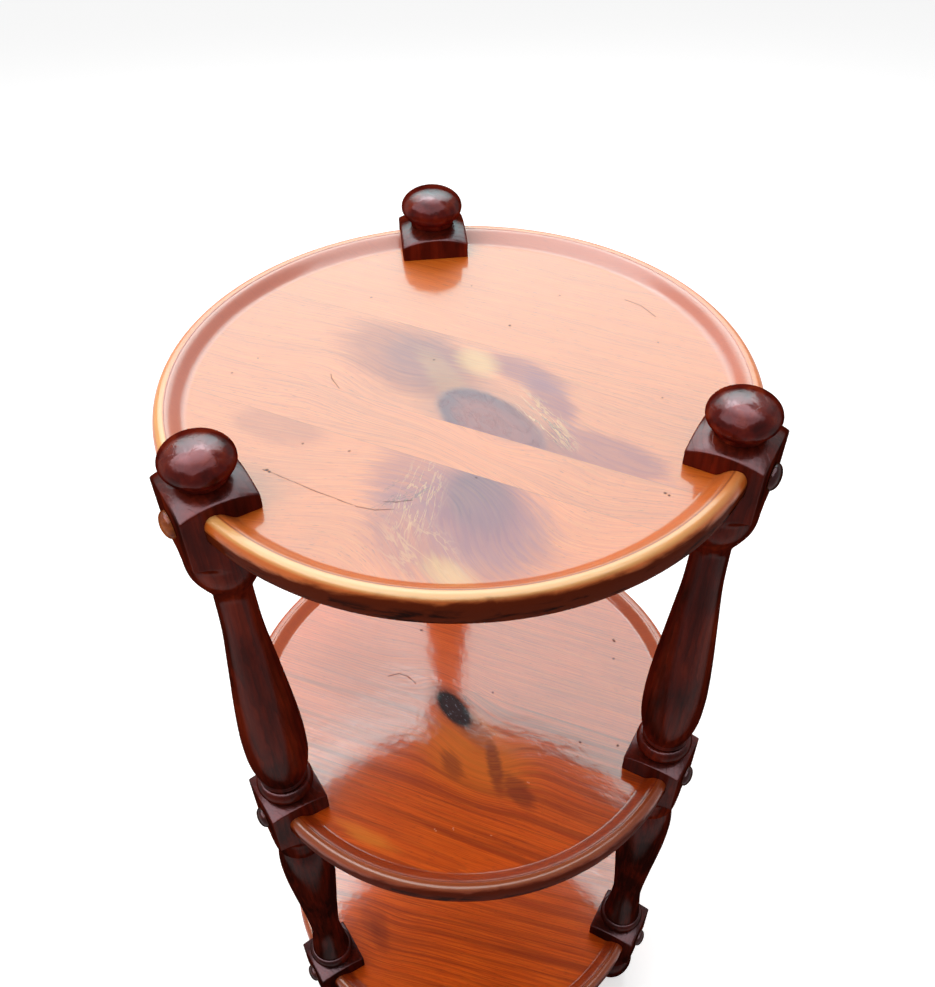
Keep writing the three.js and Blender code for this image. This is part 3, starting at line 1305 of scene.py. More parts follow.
@dataclass(frozen=True)
class PostFinish:
    """Dark red-brown stain on turned pine, worn to red on proud edges, with painted shade in its
    creases and towards the bottom.
    """

    name: str
    seed: float = 0.0
    deep: Colour = srgb(40, 13, 9)
    body: Colour = srgb(86, 24, 13)
    worn: Colour = srgb(124, 40, 19)
    sheen: float = 0.02
    crown: float = 0.085
    rough: float = 0.14
    shadow: Colour = srgb(20, 8, 6)
    gloss_tint: Colour = (1.0, 0.5, 0.54)
    gloss_ior: float = 2.2
    grain_depth: float = 0.00012
    fibre_scale: Scale = (0.42, 0.42, 0.014)
    blotch_scale: Scale = (0.05, 0.05, 0.018)

    def material(self) -> bpy.types.Material:
        """Build the finish.

        Returns:
            The material.
        """
        sheet = ShadeSheet(bpy.data.materials.new(self.name))
        point = sheet.local_point()
        x, y, height = sheet.parts(point)
        fibre = sheet.noise(sheet.stretched(point, self.fibre_scale, self.seed), 5.0, 0.62)
        where = sheet.stretched(point, self.blotch_scale, self.seed + 7.0)
        blotch = sheet.noise(where, 3.0, 0.5, 0.5)
        sideways = sheet.math("ADD", x, sheet.math("MULTIPLY", y, 0.35))
        sideways = sheet.math("MULTIPLY", sideways, 0.17)
        ring = sheet.math("FRACT", sheet.math("MULTIPLY_ADD", blotch, 2.4, sideways))
        late = sheet.math("MULTIPLY", sheet.ease(ring, 0.3, 0.9), sheet.ease(ring, 1.0, 0.94))
        # Darker towards the bottom: painted shade under the shelves.
        low = sheet.math("MULTIPLY", sheet.ease(height, 620.0, 120.0), -0.18)
        shade = sheet.math("MULTIPLY_ADD", fibre, 0.35, low)
        shade = sheet.math("MULTIPLY_ADD", blotch, 0.75, shade)
        colour = sheet.ramp(shade, ((0.34, self.deep), (0.55, self.body), (0.78, self.worn)))
        colour = sheet.tint(sheet.math("MULTIPLY", late, 0.3), colour, self.deep)
        surface = sheet.add("NewGeometry")
        shape = surface.outputs["Pointiness"]
        proud = sheet.math("MULTIPLY", sheet.ease(shape, 0.52, 0.62), 0.6)
        colour = sheet.tint(proud, colour, self.worn)
        # Darker in creases and recesses: painted shade.
        crease_shade = sheet.math("MULTIPLY", sheet.ease(shape, 0.48, 0.4), 0.8)
        colour = sheet.tint(crease_shade, colour, self.shadow)
        rise = sheet.parts(surface.outputs["Normal"])[2]
        gloss = sheet.spread(sheet.ease(rise, 0.5, 0.9), self.sheen, self.crown)
        facing = sheet.add("LayerWeight").outputs["Facing"]
        relief = sheet.math("SUBTRACT", fibre, sheet.math("MULTIPLY", late, 0.3))
        return sheet.varnish(
            {
                "Base Color": colour,
                "Roughness": sheet.spread(fibre, self.rough, self.rough + 0.14),
                "IOR": self.gloss_ior,
                "Specular IOR Level": sheet.math("MULTIPLY", gloss, sheet.ease(facing, 0.62, 0.38)),
                "Specular Tint": self.gloss_tint,
                "Normal": sheet.bump(relief, self.grain_depth),
                "Coat Weight": 0.0,
            }
        )


@dataclass(frozen=True)
class BallFinish:
    """Red-brown stain under gloss lacquer, on end grain that has crazed a little."""

    name: str
    deep: Colour = srgb(50, 12, 8)
    body: Colour = srgb(88, 22, 14)
    bright: Colour = srgb(128, 46, 24)
    crack: Colour = srgb(24, 8, 6)
    gloss_tint: Colour = (1.0, 0.4, 0.43)
    gloss_ior: float = 2.2
    blotch: float = 0.11
    relief: float = 0.0006

    def material(self) -> bpy.types.Material:
        """Build the finish.

        Returns:
            The material.
        """
        sheet = ShadeSheet(bpy.data.materials.new(self.name))
        random = sheet.add("ObjectInfo").outputs["Random"]
        x, y, z = sheet.parts(sheet.local_point())
        apart = sheet.math("MULTIPLY", random, 40.0)
        point = sheet.vector(
            sheet.math("MULTIPLY", x, self.blotch),
            sheet.math("MULTIPLY", y, self.blotch),
            sheet.math("MULTIPLY_ADD", z, self.blotch, apart),
        )
        blotch = sheet.noise(point, 2.0, 0.45, 0.4)
        fibre = sheet.noise(
            sheet.vector(
                sheet.math("MULTIPLY", x, 0.9),
                sheet.math("MULTIPLY", y, 0.16),
                sheet.math("MULTIPLY_ADD", z, 0.12, apart),
            ),
            3.0,
            0.6,
        )
        colour = sheet.ramp(blotch, ((0.25, self.deep), (0.5, self.body), (0.8, self.bright)))
        streak = sheet.math("MULTIPLY", sheet.ease(fibre, 0.55, 0.75), 0.5)
        colour = sheet.tint(streak, colour, self.deep)
        cells = sheet.add("TexVoronoi", feature="DISTANCE_TO_EDGE")
        sheet.feed(cells.inputs["Vector"], point)
        cells.inputs["Scale"].default_value = 1.1
        craze = sheet.ease(cells.outputs["Distance"], 0.02, 0.0)
        craze = sheet.math("MULTIPLY", craze, sheet.ease(blotch, 0.5, 0.6))
        colour = sheet.tint(sheet.math("MULTIPLY", craze, 0.25), colour, self.crack)
        height = sheet.math("SUBTRACT", blotch, sheet.math("MULTIPLY", craze, 0.08))
        rise = sheet.parts(sheet.add("NewGeometry").outputs["Normal"])[2]
        facing = sheet.add("LayerWeight").outputs["Facing"]
        gloss = sheet.spread(sheet.ease(rise, 0.84, 0.98), 0.05, 0.17)
        return sheet.varnish(
            {
                "Base Color": colour,
                "Roughness": sheet.spread(fibre, 0.1, 0.22),
                "IOR": self.gloss_ior,
                "Specular IOR Level": sheet.math("MULTIPLY", gloss, sheet.ease(facing, 0.6, 0.32)),
                "Specular Tint": self.gloss_tint,
                "Normal": sheet.bump(height, self.relief),
                "Coat Weight": 0.0,
            }
        )


@dataclass(frozen=True)
class SteelFinish:
    """Yellow-plated steel of the wood screws."""

    name: str
    bright: Colour = srgb(196, 170, 104)
    dull: Colour = srgb(128, 98, 52)
    relief: float = 0.00005

    def material(self) -> bpy.types.Material:
        """Build the finish.

        Returns:
            The material.
        """
        sheet = ShadeSheet(bpy.data.materials.new(self.name))
        cloudy = sheet.noise(sheet.stretched(sheet.local_point(), (0.6, 0.6, 0.6)), 4.0, 0.6)
        return sheet.varnish(
            {
                "Base Color": sheet.tint(cloudy, self.bright, self.dull),
                "Metallic": 1.0,
                "Roughness": sheet.spread(cloudy, 0.25, 0.55),
                "Normal": sheet.bump(cloudy, self.relief),
            }
        )


# Pieces

CENTRE = Vector((0.0, -0.00745, 0.0))  # where the shelves' axis meets the floor
CLEARANCE = 0.0003
OVERRUN = 0.004  # how far a cutter or a square length runs past the wood


def dress(
    piece: bpy.types.Object, finish: bpy.types.Material, node: str
) -> bpy.types.Object:
    """Shade a piece, give it its finish and tie it to the frame.

    Args:
        piece: The piece.
        finish: Its material.
        node: The node of the frame that it stands for.

    Returns:
        The piece.
    """
    smooth(piece.data)
    piece.data.materials.append(finish)
    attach(piece, "root")
    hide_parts(node)
    return piece


@dataclass(frozen=True)
class Tray:
    """One dished shelf: a flat field, a cove up to a raised bead, and a rounded edge."""

    tier: Tier
    finish: PineFinish
    radius: float = 0.185
    thickness: float = 0.022
    recess: float = 0.0075
    crest_width: float = 0.005
    crest_drop: float = 0.0005
    cove_width: float = 0.011
    upper_edge_height: float = 0.009
    upper_edge_reach: float = 0.0032
    lower_edge_height: float = 0.0095
    lower_edge_reach: float = 0.007
    fullness: float = 0.91
    wear: float = 0.8
    sides: int = 288
    cove_steps: int = 16
    crest_steps: int = 9
    upper_steps: int = 18
    lower_steps: int = 12

    def outline(self, gap: float = 0.0) -> Outline:
        """Draw the section from the middle of the field to the middle of the underside.

        Args:
            gap: How far the section is grown.

        Returns:
            Distance from the axis and height over the rim.
        """
        radius = self.radius + gap
        crest_outer = radius - self.upper_edge_reach
        crest_height = gap - self.crest_drop
        crest_inner = crest_outer - self.crest_width - 2 * gap
        cove_rise = crest_height + self.recess - gap
        lower_top = self.lower_edge_height - self.thickness - gap
        cove = []
        start = crest_inner - self.cove_width
        for step in range(self.cove_steps + 1):
            lift = cove_rise * (1 - math.cos(math.pi * step / self.cove_steps)) / 2
            along = start + self.cove_width * step / self.cove_steps
            cove.append((along, gap - self.recess + lift))
        crest = self.flattened(crest_inner, crest_outer, crest_height)
        crown = (crest_inner + crest_outer) / 2
        upper = []
        for step in range(1, self.upper_steps + 1):
            angle = math.radians(90 * step / self.upper_steps)
            across, rise = math.sin(angle) ** self.fullness, math.cos(angle) ** self.fullness
            upper.append(
                (
                    crown + (radius - crown) * across,
                    (gap + self.upper_edge_height) * rise - self.upper_edge_height,
                )
            )
        lower = ellipse_arc(
            (radius - self.lower_edge_reach, lower_top),
            self.lower_edge_reach,
            self.lower_edge_height,
            0,
            -90,
            self.lower_steps,
        )
        middle = [(0.0, gap - self.recess)]
        end = [(0.0, -self.thickness - gap)]
        return middle + cove + crest[1:] + upper + lower[1:] + end

    def flattened(self, inner: float, outer: float, height: float) -> Outline:
        """Draw the crest's inner half, flatter than an ellipse, as handling has worn it.

        Args:
            inner: Distance from the axis where it starts.
            outer: Distance where it ends.
            height: Height over the rim where it starts.

        Returns:
            The points.
        """
        middle, half = (inner + outer) / 2, (outer - inner) / 2
        points = []
        for step in range(self.crest_steps + 1):
            angle = math.radians(90 * step / self.crest_steps)
            across, rise = math.cos(angle) ** self.wear, math.sin(angle) ** self.wear
            points.append((middle - half * across, height + self.crest_drop * rise))
        return points

    def middle(self) -> Matrix:
        """Where the shelf's own origin goes: on its axis, at the height of the rim."""
        return Matrix.Translation(CENTRE + Vector((0, 0, self.tier.rim)))

    def cutter(self) -> bpy.types.Object:
        """Make the grown copy that scribes a housing into a post's block."""
        mesh = turned_mesh("housing", self.outline(CLEARANCE), self.sides // 2)
        return place_object("housing", mesh, self.middle())

    def build(self, posts: list["TurnedPost"]) -> bpy.types.Object:
        """Make and dress the shelf.

        Args:
            posts: The posts whose screws go into its edge.

        Returns:
            The piece.
        """
        name = f"tray_{self.tier.word}"
        piece = place_object(name, turned_mesh(name, self.outline(), self.sides), self.middle())
        cut(piece, [post.screw_hole(self.tier) for post in posts])
        node = f"shelf_{self.tier.word}"
        return dress(piece, self.finish.material(), node)


@dataclass(frozen=True)
class TurnedPost:
    """One post: a square blank with domed blocks at the shelves, turned round between them."""

    place: Place
    finish: PostFinish
    circle: float = 0.171
    blank: float = 0.046
    edge: float = 0.0016
    square_below_rim: float = 0.034
    sweep_drop: float = 0.012
    top_dome: tuple[float, float, float] = (0.002, 0.009, 0.0155)
    lower_dome: tuple[float, float, float] = (0.0083, 0.0064, 0.018)
    vase_radii: tuple[float, float] = (0.0122, 0.0228)
    baluster_radii: tuple[float, float] = (0.0136, 0.0224)
    cup_height: float = 0.034
    short_cup: tuple[float, float] = (0.027, 0.0185)
    foot: tuple[float, float, float] = (0.045, 0.0224, 0.0135)
    small_ring: tuple[float, float, float] = (0.0179, 0.0045, 0.0166)
    large_ring: tuple[float, float, float] = (0.0216, 0.013, 0.0176)
    seat_ring: tuple[float, float, float] = (0.0209, 0.013, 0.0176)
    quirk: float = 0.003
    socket: tuple[float, float] = (0.005, 0.009)
    counterbore: tuple[float, float] = (0.005, 0.006)
    shank: tuple[float, float] = (0.0021, 0.036)
    bore_below_rim: float = 0.01475
    ring_ease: tuple[float, float] = (0.0004, 0.0008)
    dome_steps: int = 44
    side_steps: int = 12
    sweep_steps: int = 26
    ring_steps: int = 16
    cup_steps: int = 22
    short_cup_steps: int = 18
    shaft_steps: int = 56
    foot_steps: int = 30
    vase_shares: Shares = (
        (0, 0), (0.17, 0.09), (0.33, 0.36), (0.56, 0.77), (0.71, 0.97),
        (0.79, 1), (0.87, 0.96), (0.94, 0.77), (1, 0.43),
    )
    baluster_shares: Shares = (
        (0, 0.56), (0.05, 0.84), (0.135, 1), (0.27, 0.91), (0.41, 0.65),
        (0.56, 0.33), (0.765, 0), (0.9, 0.2), (1, 0.45),
    )
    cup_shares: Shares = ((0, 1), (0.2, 0.98), (0.38, 0.87), (0.6, 0.56), (0.82, 0.19), (1, 0))
    short_cup_shares: Shares = ((0, 1), (0.25, 0.92), (0.75, 0.66), (1, 0))
    foot_shares: Shares = ((0, 0.55), (0.12, 0.86), (0.34, 1), (0.62, 0.8), (0.88, 0.3), (1, 0))

    @property
    def half(self) -> float:
        """Half the blank's width."""
        return self.blank / 2

    @property
    def corner(self) -> float:
        """Distance from the axis to the blank's corner."""
        return self.half * math.sqrt(2)

    def standing(self) -> Matrix:
        """Find where the post's own origin goes: on its axis at the floor, +X outwards.

        Returns:
            The place and the turn.
        """
        azimuth = self.place.azimuth
        out = Vector((math.cos(azimuth), math.sin(azimuth), 0.0)) * self.circle
        return Matrix.Translation(CENTRE + out) @ Matrix.Rotation(self.place.facing, 4, "Z")

    def dome_height(self, tier: Tier, radius: float) -> float:
        """Find the height of a block's domed top.

        Args:
            tier: The shelf that the block holds.
            radius: Distance from the post's axis.

        Returns:
            The height above the floor.
        """
        above, crown, _ = self.top_dome if tier is Tier.TOP else self.lower_dome
        return tier.rim + above + crown * (1 - (radius / self.corner) ** 2)

    def seat_height(self) -> float:
        """Find the height of the finial's seat."""
        return self.dome_height(Tier.TOP, self.top_dome[2])

    def block(self, tier: Tier) -> list[tuple[float, float, float]]:
        """Draw one block: its domed top, its square sides and the sweep back to round.

        Args:
            tier: The shelf that it holds.

        Returns:
            Lathe radius, height and width of the eased edge, from the top down.
        """
        seat = (self.top_dome if tier is Tier.TOP else self.lower_dome)[2]
        reach = self.corner + OVERRUN
        foot = tier.rim - self.square_below_rim
        rows = []
        for step in range(self.dome_steps + 1):
            radius = seat + (reach - seat) * step / self.dome_steps
            rows.append((radius, self.dome_height(tier, radius), self.edge))
        shoulder = rows[-1][1]
        for _, height in straight((reach, shoulder), (reach, foot), self.side_steps)[1:]:
            rows.append((reach, height, self.edge))
        sweep = ellipse_arc(
            (reach, foot - self.sweep_drop),
            reach - self.half,
            self.sweep_drop,
            90,
            180,
            self.sweep_steps,
        )
        for radius, height in sweep[1:]:
            ease = min(max(radius - self.half, TINY), self.edge)
            rows.append((max(radius, self.half), height, ease))
        return rows

    def ring_bead(self, size: tuple[float, float, float], foot: float) -> Outline:
        """Draw a rounded ring.

        Args:
            size: Radius, height and groove radius.
            foot: Height of its lower end.

        Returns:
            The points from the top down.
        """
        radius, height, groove = size
        middle = (groove, foot + height / 2)
        return ellipse_arc(middle, radius - groove, height / 2, 90, -90, self.ring_steps)

    def below(self, tier: Tier) -> Outline:
        """Draw the turned length under one block.

        Args:
            tier: The shelf that the block holds.

        Returns:
            The points from the top down.
        """
        top = tier.rim - self.square_below_rim - self.sweep_drop
        if tier is Tier.TOP:
            slim, full = self.vase_radii
            cup = turned_length(
                self.cup_shares, top, self.cup_height, slim, self.half, self.cup_steps
            )
            seat = self.dome_height(Tier.MIDDLE, self.lower_dome[2])
            large_foot = seat + self.quirk
            small_foot = large_foot + self.large_ring[1]
            waist = small_foot + self.small_ring[1]
            start = top - self.cup_height
            length = start - waist
            vase = turned_length(self.vase_shares, start, length, slim, full, self.shaft_steps)
            radius, height, groove = self.small_ring
            inset, drop = self.ring_ease
            small = [
                (radius - inset, waist - drop),
                (radius, waist - height / 2),
                (groove + inset, small_foot + drop),
                (groove, small_foot),
            ]
            return cup[1:] + vase[1:] + small + self.ring_bead(self.large_ring, large_foot)
        cup_height, groove = self.short_cup
        steps = self.short_cup_steps
        cup = turned_length(self.short_cup_shares, top, cup_height, groove, self.half, steps)
        start = top - cup_height
        if tier is Tier.BOTTOM:
            height, belly, pad = self.foot
            foot = turned_length(self.foot_shares, start, height, pad, belly, self.foot_steps)
            return cup[1:] + foot[1:]
        slim, full = self.baluster_radii
        ring_foot = self.dome_height(Tier.BOTTOM, self.lower_dome[2]) + self.quirk
        flare = ring_foot + self.seat_ring[1]
        length = start - flare
        shaft = turned_length(self.baluster_shares, start, length, slim, full, self.shaft_steps)
        return cup[1:] + shaft[1:] + self.ring_bead(self.seat_ring, ring_foot)

    def square(self, angle: float) -> float:
        """Find the distance from the axis to the blank's side, its corners eased.

        Args:
            angle: Direction from the axis.

        Returns:
            The distance.
        """
        first = self.half / max(abs(math.cos(angle)), TINY)
        second = self.half / max(abs(math.sin(angle)), TINY)
        return soft_least(first, second, self.edge)

    def directions(self) -> list[float]:
        """List the directions of the mesh's columns, closer together at the corners.

        Returns:
            The directions, in radians.
        """
        steps = (0, 0.8, 1.8, 3.2, 5, 8, 12, 16, 21, 26, 31, 36, 40.5)  # degrees off a corner
        found = []
        for quarter in range(4):
            middle = 45 + 90 * quarter
            found += [math.radians(middle - s) for s in reversed(steps[1:])]
            found += [math.radians(middle + s) for s in steps]
            found.append(math.radians(middle + 45))
        return found

    def column(self) -> bpy.types.Mesh:
        """Skin the whole post, before its housings are cut.

        Returns:
            The closed mesh.
        """
        rings = []
        directions = self.directions()
        squares = [self.square(angle) for angle in directions]
        for tier in reversed(Tier):
            for radius, height, ease in self.block(tier):
                spans = [soft_least(radius, side, ease) for side in squares]
                rings.append((spans, height))
            for radius, height in self.below(tier):
                rings.append(([radius] * len(directions), height))
        skin = [
            [
                Vector((span * math.cos(angle), span * math.sin(angle), height))
                for span, angle in zip(spans, directions)
            ]
            for spans, height in rings
        ]
        return ring_mesh(
            f"post_{self.place.word}", skin, Vector((0, 0, self.seat_height())), Vector((0, 0, 0))
        )

    def lying(
        self, name: str, radius: float, start: float, end: float, height: float
    ) -> bpy.types.Object:
        """Make a round cutter that lies along the post's outward direction.

        Args:
            name: Name of the cutter.
            radius: Its radius.
            start: Where it starts, from the post's axis.
            end: Where it ends.
            height: Its height above the floor.

        Returns:
            The cutter.
        """
        outline = [(0, end), (radius, end), (radius, start), (0, start)]
        mesh = turned_mesh(name, outline, BORE_SIDES)
        turn = Matrix.Rotation(math.pi / 2, 4, "Y")
        return place_object(name, mesh, self.standing() @ Matrix.Translation((0, 0, height)) @ turn)

    def screw_hole(self, tier: Tier) -> bpy.types.Object:
        """Make the cutter of one screw's hole in the shelf's edge.

        Args:
            tier: The shelf.

        Returns:
            The cutter.
        """
        radius, length = self.shank
        tip = self.half - self.counterbore[1] - length - CLEARANCE
        height = tier.rim - self.bore_below_rim
        return self.lying("hole", radius + CLEARANCE, tip, self.half, height)

    def cutters(self, trays: list[Tray]) -> list[bpy.types.Object]:
        """Make all that is cut out of the post.

        Args:
            trays: The shelves whose edges it grips.

        Returns:
            The cutters.
        """
        found = [tray.cutter() for tray in trays]
        for tier in Tier:
            height = tier.rim - self.bore_below_rim
            radius, depth = self.counterbore
            found.append(self.lying("shank", self.shank[0] + CLEARANCE, 0.0, self.half, height))
            found.append(self.lying("bore", radius, self.half - depth, self.half + OVERRUN, height))
        radius, depth = self.socket
        seat = self.seat_height()
        low, high = seat - depth - CLEARANCE, seat + OVERRUN
        grown = radius + CLEARANCE
        outline = [(0, high), (grown, high), (grown, low), (0, low)]
        mesh = turned_mesh("socket", outline, BORE_SIDES)
        found.append(place_object("socket", mesh, self.standing()))
        return found

    def build(self, trays: list[Tray]) -> bpy.types.Object:
        """Make and dress the post.

        Args:
            trays: The shelves whose edges it grips.

        Returns:
            The piece.
        """
        name = f"turned_post_{self.place.word}"
        piece = place_object(name, self.column(), self.standing())
        cut(piece, self.cutters(trays))
        node = f"post_{self.place.word}"
        return dress(piece, self.finish.material(), node)


@dataclass(frozen=True)
class BallFinial:
    """Flattened ball on a short neck, with the dowel that seats it on its post."""

    post: TurnedPost
    ball_radius: float = 0.0213
    half_height: float = 0.0122
    above_rim: float = 0.0207
    neck: float = 0.015
    dowel: tuple[float, float] = (0.005, 0.009)
    steps: int = 40
    sides: int = 72

    def outline(self) -> Outline:
        """Draw the section from the top of the ball to the end of the dowel.

        Returns:
            Distance from the axis and height above the floor.
        """
        seat = self.post.seat_height() + CLEARANCE
        middle = Tier.TOP.rim + self.above_rim
        turn = math.degrees(math.acos(self.neck / self.ball_radius))
        ball = ellipse_arc((0, middle), self.ball_radius, self.half_height, 90, -turn, self.steps)
        ball[0] = (0.0, ball[0][1])
        radius, length = self.dowel
        foot = seat - length
        return ball + [(self.neck, seat), (radius, seat), (radius, foot), (0.0, foot)]

    def build(self, finish: bpy.types.Material) -> bpy.types.Object:
        """Make and dress the finial.

        Args:
            finish: Its material.

        Returns:
            The piece.
        """
        word = self.post.place.word
        mesh = turned_mesh(f"ball_{word}", self.outline(), self.sides)
        seat = Tier.TOP.rim + self.above_rim
        mesh.transform(Matrix.Translation((0, 0, -seat)))
        place = self.post.standing() @ Matrix.Translation((0, 0, seat))
        piece = place_object(f"ball_{word}", mesh, place)
        return dress(piece, finish, f"finial_{word}")


@dataclass(frozen=True)
class ScrewButton:
    """Mushroom-headed wooden button that covers one screw."""

    post: TurnedPost
    tier: Tier
    radius: float = 0.0083
    height: float = 0.0056
    lip: float = 0.0012
    stem: tuple[float, float] = (0.0046, 0.0022)
    eased: float = 0.0003
    steps: int = 16
    sides: int = 40

    def build(self, finish: bpy.types.Material) -> bpy.types.Object:
        """Make and dress the button.

        Args:
            finish: Its material.

        Returns:
            The piece.
        """
        words = f"{self.post.place.word}_{self.tier.word}"
        rise = self.height - self.lip
        dome = ellipse_arc((0, self.lip), self.radius, rise, 90, 0, self.steps)
        dome[0] = (0.0, dome[0][1])
        stem, length = self.stem
        rim = [(self.radius, self.eased), (self.radius - self.eased, 0.0)]
        outline = dome + rim + [(stem, 0.0), (stem, -length), (0.0, -length)]
        mesh = turned_mesh(f"cap_{words}", outline, self.sides)
        height = self.tier.rim - self.post.bore_below_rim
        place = (
            self.post.standing()
            @ Matrix.Translation((self.post.half + CLEARANCE, 0, height))
            @ Matrix.Rotation(math.pi / 2, 4, "Y")
        )
        piece = place_object(f"cap_{words}", mesh, place)
        return dress(piece, finish, f"button_{words}")


@dataclass(frozen=True)
class WoodScrew:
    """One screw of the frame, kept as it is and given its metal."""

    place: Place
    tier: Tier

    def plate(
        self, nodes: dict[str, bpy.types.Object], finish: bpy.types.Material
    ) -> bpy.types.Object:
        """Give the screw its metal.

        Args:
            nodes: The frame's objects, by name.
            finish: Its material.

        Returns:
            The screw.
        """
        screw = nodes[f"screw_{self.place.word}_{self.tier.word}"]
        for holder in screw.material_slots:
            holder.material = finish
        return screw


# Studio


@dataclass(frozen=True)
class Camera:
    """The photograph's viewpoint. Its frame is 935 by 987, so the long side is the height."""

    place: tuple[float, float, float] = (-0.05012, -0.50772, 1.12032)
    forward: tuple[float, float, float] = (0.07110, 0.66424, -0.74413)
    upward: tuple[float, float, float] = (0.09303, 0.73835, 0.66797)
    lens: float = 36.231
    shift: float = 0.0978
    sensor: float = 36.0
    clip: tuple[float, float] = (0.01, 50.0)

    def build(self) -> bpy.types.Object:
        """Make the camera and set it as the scene's own.

        Returns:
            The camera.
        """
        data = bpy.data.cameras.new("camera")
        data.sensor_fit = "AUTO"
        data.sensor_width = self.sensor
        data.lens = self.lens
        data.shift_y = self.shift
        data.clip_start, data.clip_end = self.clip
        back = -Vector(self.forward).normalized()
        up = Vector(self.upward)
        right = up.cross(back).normalized()
        up = back.cross(right)
        turn = Matrix((right, up, back)).transposed().to_4x4()
        camera = bpy.data.objects.new("camera", data)
        camera.matrix_world = Matrix.Translation(self.place) @ turn
        bpy.context.scene.collection.objects.link(camera)
        bpy.context.scene.camera = camera
        return camera


@dataclass(frozen=True)
class SoftBox:
    """A soft rectangular lamp that faces the table."""

    name: str
    azimuth: float
    elevation: float
    distance: float
    width: float
    height: float
    radiance: float
    tilt: float = 0.0
    spread: float = 180.0
    lights: bool = True
    shines: bool = True
    aim: tuple[float, float, float] = (0.0, 0.0, 0.6)
    colour: Colour = (1.0, 1.0, 1.0)

    def outward(self, elevation: float) -> Vector:
        """Find the direction out from the table at the lamp's azimuth.

        Args:
            elevation: Degrees above level.

        Returns:
            The direction.
        """
        flat, rise = math.radians(self.azimuth), math.radians(elevation)
        return Vector(
            (math.cos(flat) * math.cos(rise), math.sin(flat) * math.cos(rise), math.sin(rise))
        )

    def build(self) -> bpy.types.Object:
        """Make the lamp.

        Returns:
            The lamp.
        """
        data = bpy.data.lights.new(self.name, "AREA")
        data.shape = "RECTANGLE"
        data.size, data.size_y = self.width, self.height
        data.energy = self.radiance * math.pi * self.width * self.height
        data.color = self.colour
        data.spread = math.radians(self.spread)
        lamp = bpy.data.objects.new(self.name, data)
        lamp.visible_diffuse, lamp.visible_glossy = self.lights, self.shines
        lamp.location = Vector(self.aim) + self.outward(self.elevation) * self.distance
        lamp.rotation_mode = "QUATERNION"
        lamp.rotation_quaternion = self.outward(self.elevation + self.tilt).to_track_quat("Z", "Y")
        bpy.context.scene.collection.objects.link(lamp)
        return lamp


@dataclass(frozen=True)
class Studio:
    """Plain white surroundings: a floor, a pale world and soft lamps."""

    floor_size: float = 12.0
    floor_glow: float = 0.58
    sky: float = 0.38
    paper: Colour = (0.82, 0.82, 0.82)
    white: Colour = (1.0, 1.0, 1.0)
    lamps: tuple[SoftBox, ...] = ()

    def build_world(self) -> None:
        """Make a world that looks white and lights the table softly."""
        sheet = ShadeSheet(bpy.data.worlds.new("surroundings"))
        glow = sheet.add("Background")
        sheet.feed(glow.inputs["Color"], (*self.white, 1.0))
        sheet.feed(glow.inputs["Strength"], sheet.spread(sheet.seen_directly(), self.sky, 1.0))
        sheet.feed(sheet.add("OutputWorld").inputs[0], glow.outputs[0])
        bpy.context.scene.world = sheet.owner

    def build_floor(self) -> bpy.types.Object:
        """Make the pale floor, which keeps the table's shadow.

        Returns:
            The floor.
        """
        half = self.floor_size / 2
        mesh = bpy.data.meshes.new("floor")
        corners = [(-half, -half, 0), (half, -half, 0), (half, half, 0), (-half, half, 0)]
        mesh.from_pydata(corners, [], [(0, 1, 2, 3)])
        floor = place_object("floor", mesh, Matrix.Identity(4))
        sheet = ShadeSheet(bpy.data.materials.new("floor_paper"))
        matt = sheet.add("BsdfDiffuse")
        sheet.feed(matt.inputs["Color"], (*self.paper, 1.0))
        glow = sheet.add("Emission")
        sheet.feed(glow.inputs["Color"], (*self.white, 1.0))
        level = sheet.math("MULTIPLY", sheet.seen_directly(), self.floor_glow)
        sheet.feed(glow.inputs["Strength"], level)
        both = sheet.add("AddShader")
        for socket, shader in zip(both.inputs, (matt, glow)):
            sheet.feed(socket, shader.outputs[0])
        sheet.feed(sheet.add("OutputMaterial").inputs[0], both.outputs[0])
        mesh.materials.append(sheet.owner)
        return floor

    def build(self) -> None:
        """Make the whole studio."""
        bpy.context.scene.view_settings.view_transform = "Standard"
        self.build_world()
        self.build_floor()
        for lamp in self.lamps:
            lamp.build()


# The table


